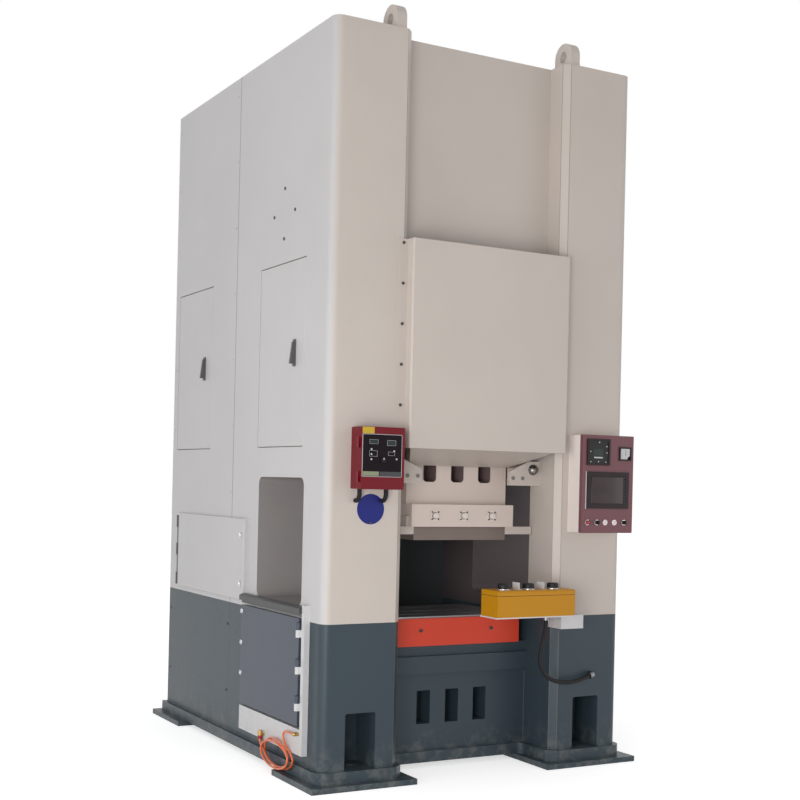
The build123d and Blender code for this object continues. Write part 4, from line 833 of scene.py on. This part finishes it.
def add(name, grids, slot, body="frame", finish=None, loop=False):
    """One piece from grids whose columns close round; loop joins their rows too.

    Poles and seams are merged, and faces turned outwards.
    """
    mesh = bpy.data.meshes.new(name)
    points, quads, count = [], [], 0
    for grid in grids if isinstance(grids, list) else [grids]:
        copies, rows, columns = grid.shape[:3]
        index = count + np.arange(copies * rows * columns).reshape(copies, rows, columns)
        index = np.concatenate([index, index[:, :, :1]], axis=2)
        if loop:
            index = np.concatenate([index, index[:, :1]], axis=1)
        corners = (index[:, :-1, :-1], index[:, 1:, :-1], index[:, 1:, 1:], index[:, :-1, 1:])
        quads.append(np.stack(corners, axis=-1).reshape(-1, 4))
        points.append(grid.reshape(-1, 3))
        count += copies * rows * columns
    mesh.from_pydata(np.concatenate(points), [], np.concatenate(quads).tolist())
    shape = bmesh.new()
    shape.from_mesh(mesh)
    bmesh.ops.remove_doubles(shape, verts=shape.verts, dist=MERGE)
    bmesh.ops.recalc_face_normals(shape, faces=shape.faces)
    shape.to_mesh(mesh)
    shape.free()
    mesh.shade_smooth()
    mesh.set_sharp_from_angle(angle=SHARP)
    mesh.materials.append(finish or FINISHES[slot])
    made = bpy.data.objects.new(name, mesh)
    bpy.context.scene.collection.objects.link(made)
    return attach(made, body)


def screw_head(radius, height):
    """Outline of a low domed head, from its foot to its middle."""
    return [
        (0, 0), (radius, 0), (radius, height * 0.5),
        (radius * 0.8, height * 0.86), (radius * 0.4, height), (0, height),
    ]


def socket_head(radius, height):
    """Outline of a cylinder head with a sunk socket."""
    return [
        (0, 0), (radius, 0), (radius, height * 0.85), (radius * 0.88, height),
        (radius * 0.55, height), (radius * 0.5, height * 0.4), (0, height * 0.4),
    ]


def button_head(radius, height, bevel):
    """Outline of a flat round, from its foot to its middle, with a bevelled rim."""
    inset, drop = bevel
    return [(0, 0), (radius, 0), (radius, height - drop), (radius - inset, height), (0, height)]


def slab(thick, edge, sunk=SUNK):
    """Layers of a plate with a bevelled edge, its foot sunk into what carries it."""
    return [(0, -sunk), (0, thick - edge), (edge, thick)]


def band(outer, inner, low, high):
    """Four corners of a ring's section, between two radii or insets and two heights."""
    return [(outer, low), (outer, high), (inner, high), (inner, low)]


def mirrored(places):
    """Places and their mirror images across the middle plane."""
    return [(side * x, y, z) for x, y, z in places for side in (-1, 1)]


# Welds and screws on the frame

def frame_welds():
    """Beads where the columns and the bed stand on the base, between bed and columns, and round the lugs."""
    lines = []
    for side in (-1, 1):
        outside, inside, middle = side * SIDE_X, side * OPENING_X, side * COLUMN_X
        from_bevel, to_corner = inside + side * WELD_BEVEL_IN, outside - side * WELD_CORNER_IN
        pocket = side * WELD_POCKET_HALF
        lines.append(((from_bevel, FRONT_Y, BASE_Z), (middle - pocket, FRONT_Y, BASE_Z)))
        lines.append(((middle + pocket, FRONT_Y, BASE_Z), (to_corner, FRONT_Y, BASE_Z)))
        lines.append(((outside, FRONT_Y + WELD_CORNER_IN, BASE_Z), (outside, BACK_Y, BASE_Z)))
        lines.append(((inside, FRONT_Y + WELD_BEVEL_IN, BASE_Z), (inside, BED_Y, BASE_Z)))
        lines.append(((inside, BED_Y, BASE_Z), (inside, BED_Y, BED_WELD_TOP)))
        for y in (FRONT_Y + LUG_SETBACK, SEAM_Y - LUG_SETBACK - LUG_W):
            for out in (LUG_IN, LUG_IN + LUG_T):
                x = inside + side * out
                lines.append(((x, y, TOP_Z), (x, y + LUG_W, TOP_Z)))
    lines.append(((-OPENING_X, BED_Y, BASE_Z), (OPENING_X, BED_Y, BASE_Z)))
    return add("frame_welds", [bead(a, b) for a, b in lines], "cream_paint")


def cover_bolts():
    """Five bolts down each flange of the slide's cover."""
    lo, hi = BOX["slide_cover"]
    heights = np.linspace(lo[2] + COVER_BOLT_RISE, hi[2] - COVER_BOLT_DROP, COVER_BOLTS)
    places = mirrored([(hi[0] - COVER_BOLT_IN, FRONT_Y - COVER_T, z) for z in heights])
    return add("cover_bolts", turned(screw_head(*COVER_BOLT), places, "front", 6), "dark_steel")


def front_plate_screws():
    """Two socket screws that hold the orange plate to the bolster."""
    lo = BOX["bolster_front_plate"][0]
    places = mirrored([(FRONT_PLATE_SCREW_X, lo[1], lo[2] + FRONT_PLATE_SCREW_RISE)])
    heads = turned(socket_head(*FRONT_PLATE_SCREW), places, "front")
    return add("front_plate_screws", heads, "dark_steel")


def side_plugs():
    """Four plugged holes round the cylinder's height in the left column's side."""
    t = np.arange(PLUGS) / PLUGS * TURN
    y = PLUG_MIDDLE[0] + PLUG_CIRCLE_R * np.cos(t)
    z = PLUG_MIDDLE[1] + PLUG_CIRCLE_R * np.sin(t)
    places = np.stack([np.full(PLUGS, -SIDE_X), y, z], axis=1)
    return add("side_plugs", turned(socket_head(*SIDE_PLUG), places, "left"), "dark_steel")


def casing_screws():
    """Screws along the upright edges of the casing's walls; none where the lower door lies."""
    heights = np.linspace(CASING_SCREW_LOW, TOP_Z - CASING_SCREW_DROP, CASING_SCREWS)
    door_foot, door_top = BOX["lower_side_door"][:, 2]
    clear = [z for z in heights if z < door_foot - DOOR_CLEAR or z > door_top + DOOR_CLEAR]
    near, far = SEAM_Y + CASING_SCREW_IN, BACK_Y - CASING_SCREW_IN
    places = {
        "left": [(-SIDE_X, near, z) for z in clear] + [(-SIDE_X, far, z) for z in heights],
        "right": [(SIDE_X, y, z) for y in (near, far) for z in heights],
        "back": mirrored([(SIDE_X - BACK_SCREW_IN, BACK_Y, z) for z in heights]),
    }
    grids = [turned(screw_head(*CASING_SCREW), there, face, 16) for face, there in places.items()]
    return add("casing_screws", grids, "casing_paint")


def back_louvres():
    """Two columns of pressed louvres that let the power unit's warm air out of the rear wall."""
    heights = LOUVRE_LOW + np.arange(LOUVRES) * LOUVRE_PITCH
    places = mirrored([(LOUVRE_X, BACK_Y, z) for z in heights])
    return add("back_louvres", louvre(places, *LOUVRE_SIZE, "back"), "casing_paint")


def clamp_screws():
    """Four small screws in the corners of each clamping bolt's flange, and a dark seal round its cap."""
    lo, hi = BOX["clamp_bolts"]
    middle, half = (lo + hi) / 2, (hi[2] - lo[2]) / 2
    columns = (lo[0] + half, middle[0], hi[0] - half)
    out = half - CLAMP_SCREW_IN
    y = hi[1] - CLAMP_FLANGE_T
    places = [(x + i * out, y, middle[2] + k * out) for x in columns for i in (-1, 1) for k in (-1, 1)]
    screws = turned(socket_head(*CLAMP_SCREW), places, "front", 16)
    seal = band(*CLAMP_SEAL_R, -SUNK, CLAMP_SEAL_T)
    rings = turned(seal + seal[:1], [(x, y, middle[2]) for x in columns], "front", 32)
    return add("clamp_screws", [screws, rings], "dark_steel", "slide")


def gib_screws():
    """Two socket screws beside the domed bolt of each guide block."""
    y = BOX["gib_blocks"][0, 1] + GIB_BOLT_R - SUNK
    places = mirrored([(x, y, GIB_SCREW_Z) for x in GIB_SCREW_X])
    heads = turned(socket_head(*GIB_SCREW), places, "front")
    return add("gib_screws", heads, "grey_paint", finish=SCREW_GREY)


frame_welds()
cover_bolts()
front_plate_screws()
side_plugs()
casing_screws()
back_louvres()
clamp_screws()
gib_screws()


# Left side: lower door, guard and air line

def door_latches():
    """Two quarter-turn latches at the lower door's front edge: a round boss with a raised bar."""
    lo, hi = BOX["lower_side_door"]
    x, y = -SIDE_X - DOOR_T, lo[1] + LATCH_IN
    heights = [lo[2] + share * (hi[2] - lo[2]) for share in LATCH_SHARES]
    bosses = turned(button_head(LATCH_R, LATCH_T, LATCH_BEVEL), [(x, y, z) for z in heights], "left")
    bar = slab(LATCH_BAR_T, TAB_EDGE, TAB_EDGE)
    bars = plate([(x - LATCH_T, y, z) for z in heights], LATCH_BAR, LATCH_BAR_R, bar, "left")
    return add("door_latches", [bosses, bars], "plated_steel", "lower_side_door")


def hinge_pins():
    """Round pins that show between the knuckles of the lower door's hinges."""
    y = BOX["lower_side_door"][1, 1] - HINGE_PIN_OUT
    pins = []
    for low, high in HINGE_PIN_SPANS:
        outline = [(0, 0), (HINGE_PIN_R, 0), (HINGE_PIN_R, high - low), (0, high - low)]
        pins.append(turned(outline, [(-SIDE_X - HINGE_PIN_OUT, y, low)], "top", 16))
    return add("hinge_pins", pins, "grey_paint")


def guard_catches():
    """Three catches at the guard's rear edge: a rounded tab with a screw in it."""
    x = -SIDE_X - GUARD_OUT
    y = BOX["guard_panel"][1, 1] - CATCH_IN
    tab = slab(CATCH_T, TAB_EDGE, TAB_EDGE)
    tabs = plate([(x, y, z) for z in CATCH_HEIGHTS], CATCH_SIZE, CATCH_R, tab, "left")
    places = [(x - CATCH_T, y, z) for z in CATCH_HEIGHTS]
    screws = turned(screw_head(*CATCH_SCREW), places, "left", 16)
    return add("guard_catches", [tabs, screws], "plated_steel", "guard_panel")


def trunking_screws():
    """Screws along the lid of the white trunking, and the joint of its two lengths."""
    lo, hi = BOX["guard_frame"]
    x, z = lo[0], lo[2]
    along = np.linspace(lo[1] + TRUNKING_SCREW_START, hi[1] - TRUNKING_SCREW_END, TRUNKING_SCREWS)
    places = [(x, y, z + rise) for y in along for rise in TRUNKING_SCREW_RISES]
    heads = turned(screw_head(*TRUNKING_SCREW), places, "left", 16)
    middle = (x, hi[1] - TRUNKING_JOINT_IN, z + TRUNKING_JOINT_RISE)
    joint = plate([middle], TRUNKING_JOINT, SMALL_R, TRUNKING_JOINT_LAYERS, "left")
    return add("trunking_screws", [heads, joint], "white_paint")


def coupling_collar():
    """Red locking sleeve round the air coupling."""
    inner, outer = SLEEVE_R
    outline = [(inner, 0), (outer, SLEEVE_EDGE), (outer, SLEEVE_H - SLEEVE_EDGE), (inner, SLEEVE_H)]
    x, y, z = TAIL_ROUTE[-1]
    sleeve = turned(outline, [(x, y, z + SLEEVE_RISE)], "top")
    return add("coupling_collar", sleeve, "red_plastic", loop=True)


door_latches()
hinge_pins()
guard_catches()
trunking_screws()
coupling_collar()


# Places on the two doors

DOOR_FLATS = {
    "monitor_door": (BOX["monitor_door"][1, 0] - MONITOR_W, MONITOR_W),
    "control_door": (BOX["control_door"][0, 0], PANEL_W),
}


def on_door(door, u, v, lift=0.0):
    """Place on a door, from shares of the width and height of its flat."""
    lo, hi = BOX[door]
    left, width = DOOR_FLATS[door]
    return left + u * width, lo[1] - lift, hi[2] - v * (hi[2] - lo[2])


def door_size(door, u, v):
    """Width and height between two shares across and two shares down a door."""
    lo, hi = BOX[door]
    return (u[1] - u[0]) * DOOR_FLATS[door][1], (v[1] - v[0]) * (hi[2] - lo[2])


def door_plate(name, door, shares, thick, corner, slot, finish=None, lift=0.0):
    """Thin plate between two shares across and two shares down a door."""
    u, v = shares
    middle = on_door(door, sum(u) / 2, sum(v) / 2, lift)
    grid = plate([middle], door_size(door, u, v), corner, slab(thick, thick * 0.3), "front")
    return add(name, grid, slot, door, finish)


# Load monitor

def monitor_plate(name, shares, thick, corner, slot, finish=None, lift=FACEPLATE_T):
    """Thin plate on the monitor's door, most of them on its faceplate."""
    return door_plate(name, "monitor_door", shares, thick, corner, slot, finish, lift)


def monitor_frame():
    """Thin light frame round the monitor's faceplate."""
    u, v = MONITOR_FRAME_SHARES
    middle = on_door("monitor_door", sum(u) / 2, sum(v) / 2)
    ring = band(0, MONITOR_FRAME_W, -MONITOR_FRAME_SUNK, MONITOR_FRAME_T)
    grid = plate([middle], door_size("monitor_door", u, v), FACEPLATE_R, ring, "front", False)
    return add("monitor_frame", grid, "pale_plastic", "monitor_door", loop=True)


def monitor_outlines():
    """Thin pale lines round the display windows and the two fields below them."""
    ring = band(0, OUTLINE_W, -SUNK, OUTLINE_T)
    grids = []
    for u, v in (LEFT_WINDOW_SHARES, RIGHT_WINDOW_SHARES, LEFT_FIELD_SHARES, RIGHT_FIELD_SHARES):
        middle = on_door("monitor_door", sum(u) / 2, sum(v) / 2, FACEPLATE_T)
        size = np.array(door_size("monitor_door", u, v)) + OUTLINE_OVER
        grids.append(plate([middle], size, SMALL_R, ring, "front", False))
    return add("monitor_outlines", grids, "pale_plastic", "monitor_door", loop=True)


def monitor_knob():
    """Fluted knob: the radius of its skirt swells and shrinks with the cosine of nine times the turn."""
    middle = np.array(on_door("monitor_door", *KNOB_SHARES, KNOB_LIFT))
    t = np.arange(72) / 72 * TURN
    flute = 1 + KNOB_FLUTE_SHARE * np.cos(KNOB_FLUTES * t)
    radius, height = np.array(button_head(KNOB_R, KNOB_H, KNOB_BEVEL)).T
    ring = np.stack([np.cos(t) * flute, t * 0, np.sin(t) * flute], axis=1)
    grid = middle + radius[:, None, None] * ring - height[:, None, None] * np.array([0, 1, 0])
    return add("monitor_knob", grid[None], "black_plastic", "monitor_door")


def monitor_lamps():
    """Round lenses on the monitor's faceplate."""
    places = [on_door("monitor_door", u, v, MONITOR_LENS_LIFT) for u, v in MONITOR_LENS_SHARES]
    lenses = turned(screw_head(*MONITOR_LENS), places, "front")
    return add("monitor_lamps", lenses, "pale_plastic", "monitor_door")


def blue_disc():
    """Blue disc on the left column below the monitor, with its fixing screw at the bottom."""
    x, z = DISC_MIDDLE
    rim = [
        (0, -SUNK), (DISC_R, -SUNK), (DISC_R, DISC_T - DISC_EDGE),
        (DISC_R - DISC_EDGE, DISC_T), (0, DISC_T),
    ]
    add("blue_disc", turned(rim, [(x, FRONT_Y, z)], "front", 64), "pale_plastic", finish=DISC_BLUE)
    foot = (x, FRONT_Y - DISC_T, z - DISC_SCREW_DROP)
    return add("disc_screw", turned(screw_head(*DISC_SCREW), [foot], "front"), "dark_steel")


monitor_plate(
    "monitor_faceplate", FACEPLATE_SHARES, FACEPLATE_T, FACEPLATE_R, "black_plastic", FACE_BLACK, lift=0.0
)
monitor_frame()
monitor_outlines()
monitor_plate("monitor_strip_left", LEFT_STRIP_SHARES, STRIP_T, SMALL_R, "pale_plastic", STRIP_GREEN)
monitor_plate("monitor_strip_right", RIGHT_STRIP_SHARES, STRIP_T, SMALL_R, "dark_steel")
monitor_plate("monitor_patch", PATCH_SHARES, PATCH_T, SMALL_R, "yellow_paint", PATCH_YELLOW, lift=0.0)
for side, shares in (("left", LEFT_WINDOW_SHARES), ("right", RIGHT_WINDOW_SHARES)):
    monitor_plate(f"monitor_window_{side}", shares, FACEPLATE_T, SMALL_R, "black_plastic", LCD_GLASS)
monitor_plate("monitor_pointer", POINTER_SHARES, POINTER_T, POINTER_R, "pale_plastic", lift=POINTER_LIFT)
monitor_knob()
monitor_lamps()
blue_disc()


# Control panel

def panel_plate(name, shares, thick, corner, slot, finish=None, lift=WELL_LIFT):
    """Thin plate on the control door, most of them in a bezel's well."""
    return door_plate(name, "control_door", shares, thick, corner, slot, finish, lift)


def module_shares(s, t):
    """Shares of the control door for shares across and down its display module."""
    (left, right), (top, bottom) = MODULE_SHARES
    return left + s * (right - left), top + t * (bottom - top)


def module_part(name, shares, thick, slot, finish=None):
    """Plate on the display module, from shares across and down the module."""
    return panel_plate(name, module_shares(*np.array(shares)), thick, SMALL_R, slot, finish)


def module_lamps():
    """Small lenses round the module's display."""
    places = [on_door("control_door", *module_shares(s, t), WELL_LIFT) for s, t in MODULE_LENS_SHARES]
    lenses = turned(screw_head(*MODULE_LENS), places, "front", 16)
    return add("module_lamps", lenses, "pale_plastic", "control_door")


def meter():
    """Pale meter face with a dark quarter round in its corner, and a needle."""
    panel_plate("meter_face", METER_SHARES, METER_T, METER_R, "pale_plastic")
    corner = np.array(on_door("control_door", METER_SHARES[0][1], METER_SHARES[1][1], METER_LIFT))
    t = np.linspace(0, TURN / 4, 13)
    outline = [(0, 0), (METER_CORNER_R, 0), (METER_CORNER_R, METER_CORNER_T), (0, METER_CORNER_T)]
    radius, height = np.array(outline).T
    ring = np.stack([-np.cos(t), t * 0, np.sin(t)], axis=1)
    wedge = corner + radius[:, None, None] * ring - height[:, None, None] * np.array([0, 1, 0])
    add("meter_corner", wedge[None], "black_plastic", "control_door")
    panel_plate("meter_needle", NEEDLE_SHARES, NEEDLE_T, NEEDLE_R, "black_plastic", lift=METER_LIFT)


def meter_ticks():
    """Ticks on an arc: their places turn about the needle's foot in even steps."""
    foot = np.array(on_door("control_door", *TICK_FOOT_SHARES, METER_LIFT))
    t = np.linspace(*TICK_ARC, TICKS)
    places = foot + TICK_ARC_R * np.stack([np.cos(t), t * 0, np.sin(t)], axis=1)
    ticks = plate(places, (TICK_W, TICK_W), TICK_T, [(0, 0), (0, TICK_T)], "front")
    return add("meter_ticks", ticks, "black_plastic", "control_door")


def screen_keys():
    """Column of nine soft keys beside the screen."""
    across, top, bottom = KEY_SHARES
    places = [on_door("control_door", across, v, WELL_LIFT) for v in np.linspace(top, bottom, KEYS)]
    keys = plate(places, KEY_SIZE, KEY_R, slab(KEY_T, KEY_EDGE), "front")
    return add("screen_keys", keys, "black_plastic", "control_door", FINISHES["dark_steel"])


def button_rings():
    """Bright rings on the door round the button, the selectors and the lamps."""
    (inner, outer), (inset, drop) = BUTTON_RING_R, BUTTON_RING_BEVEL
    outline = [
        (inner, -SUNK), (outer, -SUNK), (outer, BUTTON_RING_T - drop),
        (outer - inset, BUTTON_RING_T), (inner, BUTTON_RING_T),
    ]
    places = [on_door("control_door", u, BUTTON_ROW_SHARE) for u in BUTTON_SHARES]
    rings = turned(outline, places, "front", 32)
    return add("button_rings", rings, "plated_steel", "control_door", loop=True)


module_part("module_face", MODULE_FACE_SHARES, MODULE_FACE_T, "black_plastic")
module_part("module_display", MODULE_DISPLAY_SHARES, MODULE_DISPLAY_T, "black_plastic", LCD_GLASS)
module_part("module_bar", MODULE_BAR_SHARES, MODULE_BAR_T, "pale_plastic")
module_lamps()
meter()
meter_ticks()
panel_plate("screen", SCREEN_SHARES, SCREEN_T, SCREEN_R, "black_plastic", SCREEN_GLASS)
screen_keys()
panel_plate("screen_edge", SCREEN_EDGE_SHARES, SCREEN_EDGE_T, SMALL_R, "pale_plastic", lift=0.0)
button_rings()


# Two-hand control

def palm_collars():
    """Grey collar round each palm button, clear of its cap."""
    top = BOX["twohand_box"][1, 2]
    caps = [BOX[f"palm_button_{side}"].mean(0) for side in ("left", "middle", "right")]
    (inner, outer), (inside, outside) = COLLAR_R, COLLAR_BEVEL
    outline = [
        (inner, -SUNK), (inner, COLLAR_H - outside), (inner + inside, COLLAR_H),
        (outer - outside, COLLAR_H), (outer, COLLAR_H - outside), (outer, -SUNK),
    ]
    collars = turned(outline, [(x, y, top) for x, y, _ in caps], "top", 40)
    return add("palm_collars", collars, "plated_steel", loop=True)


def twohand_screws():
    """Two painted screws in each end of the box."""
    lo, hi = BOX["twohand_box"]
    places = [(y, lo[2] + TWOHAND_SCREW_RISE) for y in (lo[1] + TWOHAND_SCREW_IN, hi[1] - TWOHAND_SCREW_IN)]
    head = screw_head(*TWOHAND_SCREW)
    left = turned(head, [(lo[0], y, z) for y, z in places], "left")
    right = turned(head, [(hi[0], y, z) for y, z in places], "right")
    return add("twohand_screws", [left, right], "yellow_paint")


def lid_gasket():
    """Thin rubber edge between the box and its lid, all the way round."""
    lo, hi = BOX["twohand_box"]
    middle = ((lo[0] + hi[0]) / 2, (lo[1] + hi[1]) / 2, hi[2] - LID_H)
    ring = band(-GASKET_OUT, GASKET_DEEP, -GASKET_HALF, GASKET_HALF)
    grid = plate([middle], (hi[0] - lo[0], hi[1] - lo[1]), SMALL_R, ring, "top", False)
    return add("lid_gasket", grid, "black_rubber", loop=True)


palm_collars()
twohand_screws()
lid_gasket()


# Hoses

def hose(name, points, radius, slot):
    """Round hose along its route, as one open curve that ends at its first and last point."""
    curve = bpy.data.curves.new(name, "CURVE")
    curve.dimensions = "3D"
    spline = curve.splines.new("NURBS")
    spline.points.add(len(points) - 1)
    spline.points.foreach_set("co", np.column_stack([points, np.ones(len(points))]).ravel())
    spline.order_u = 3
    spline.use_endpoint_u = True
    spline.resolution_u = 6
    curve.bevel_depth = radius
    curve.bevel_resolution = 4
    curve.use_fill_caps = True
    curve.materials.append(FINISHES[slot])
    made = bpy.data.objects.new(name, curve)
    bpy.context.scene.collection.objects.link(made)
    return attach(made, "frame")


def coil_turns():
    """Loose oval turns: the angle goes on in even steps, while lane and size change from turn to turn."""
    count = int(COIL_TURNS * COIL_STEPS_A_TURN)
    s = np.linspace(0, COIL_TURNS, count)[1:]
    t = COIL_START + s * TURN
    x = np.interp(s, [at for at, _ in COIL_LANES], [LANES[lane] for _, lane in COIL_LANES])
    size = np.interp(s, *np.array(COIL_SIZES).T)
    y = COIL_MIDDLE[0] + COIL_HALF[0] * size * np.cos(t)
    z = COIL_MIDDLE[1] + COIL_HALF[1] * size * np.sin(t)
    return np.stack([x, y, z], axis=1)


control = hose("control_hose_run", np.array(CONTROL_ROUTE), CONTROL_HOSE_R, "black_rubber")
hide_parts("control_hose")

air_route = np.vstack([LEAD_ROUTE, coil_turns(), TAIL_ROUTE])
air = hose("air_hose_run", air_route, AIR_HOSE_R, "orange_hose")
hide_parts("air_hose_lead", "air_hose_coil")


# Camera, floor and light

def camera():
    """Camera where the photographer stood: yaw from +Y, then pitch, then roll."""
    data = bpy.data.cameras.new("camera")
    data.lens = LENS_MM
    data.sensor_width = SENSOR_MM
    data.shift_y = SHIFT_UP
    right = Vector((math.cos(YAW), -math.sin(YAW), 0))
    ahead = Vector((math.sin(YAW) * math.cos(PITCH), math.cos(YAW) * math.cos(PITCH), math.sin(PITCH)))
    up = right.cross(ahead)
    turned_right = right * math.cos(ROLL) + up * math.sin(ROLL)
    turned_up = up * math.cos(ROLL) - right * math.sin(ROLL)
    axes = Matrix((turned_right, turned_up, -ahead)).transposed()
    cam = bpy.data.objects.new("camera", data)
    cam.matrix_world = Matrix.Translation(EYE) @ axes.to_4x4()
    bpy.context.scene.collection.objects.link(cam)
    bpy.context.scene.camera = cam


def seen_straight(tree):
    """1 for what the camera sees itself, in a mirror or through glass, and 0 for other light."""
    ray = tree.nodes.new("ShaderNodeLightPath")
    seen = Shade(tree, ray.outputs["Is Camera Ray"])
    shiny = Shade(tree, ray.outputs["Is Glossy Ray"])
    through = Shade(tree, ray.outputs["Is Transmission Ray"])
    return seen.math("MINIMUM", seen + shiny + through, 1)


def floor():
    """Pale floor under the machine, white where nothing shades it."""
    mesh = bpy.data.meshes.new("floor")
    far = FLOOR_HALF
    mesh.from_pydata([(-far, -far, 0), (far, -far, 0), (far, far, 0), (-far, far, 0)], [], [(0, 1, 2, 3)])
    made = bpy.data.objects.new("floor", mesh)
    bpy.context.scene.collection.objects.link(made)
    coat = Finish("floor_paint")
    coat.done(FLOOR_PALE, 0.8)
    glow = (seen_straight(coat.tree) * FLOOR_GLOW).grey()
    coat.tree.links.new(glow.socket, coat.shader.inputs["Emission Color"])
    coat.shader.inputs["Emission Strength"].default_value = 1
    mesh.materials.append(coat.material)


def sky():
    """White all round for the camera, and a soft even light for the object."""
    world = bpy.data.worlds.new("sky")
    bpy.context.scene.world = world
    world.use_nodes = True
    back = world.node_tree.nodes["Background"]
    strength = seen_straight(world.node_tree) * (1 - SKY_LIGHT) + SKY_LIGHT
    world.node_tree.links.new(strength.socket, back.inputs["Strength"])
    back.inputs["Color"].default_value = (1, 1, 1, 1)


def soft_box(name, place, aim, size, watts):
    """Square lamp that looks from place to aim."""
    data = bpy.data.lights.new(name, "AREA")
    data.size = size
    data.energy = watts
    lamp = bpy.data.objects.new(name, data)
    lamp.location = place
    lamp.rotation_euler = (Vector(aim) - Vector(place)).to_track_quat("-Z", "Y").to_euler()
    bpy.context.scene.collection.objects.link(lamp)


camera()
floor()
sky()
for name, lamp in LAMPS.items():
    soft_box(name, *lamp)
bpy.context.scene.view_settings.view_transform = "Standard"
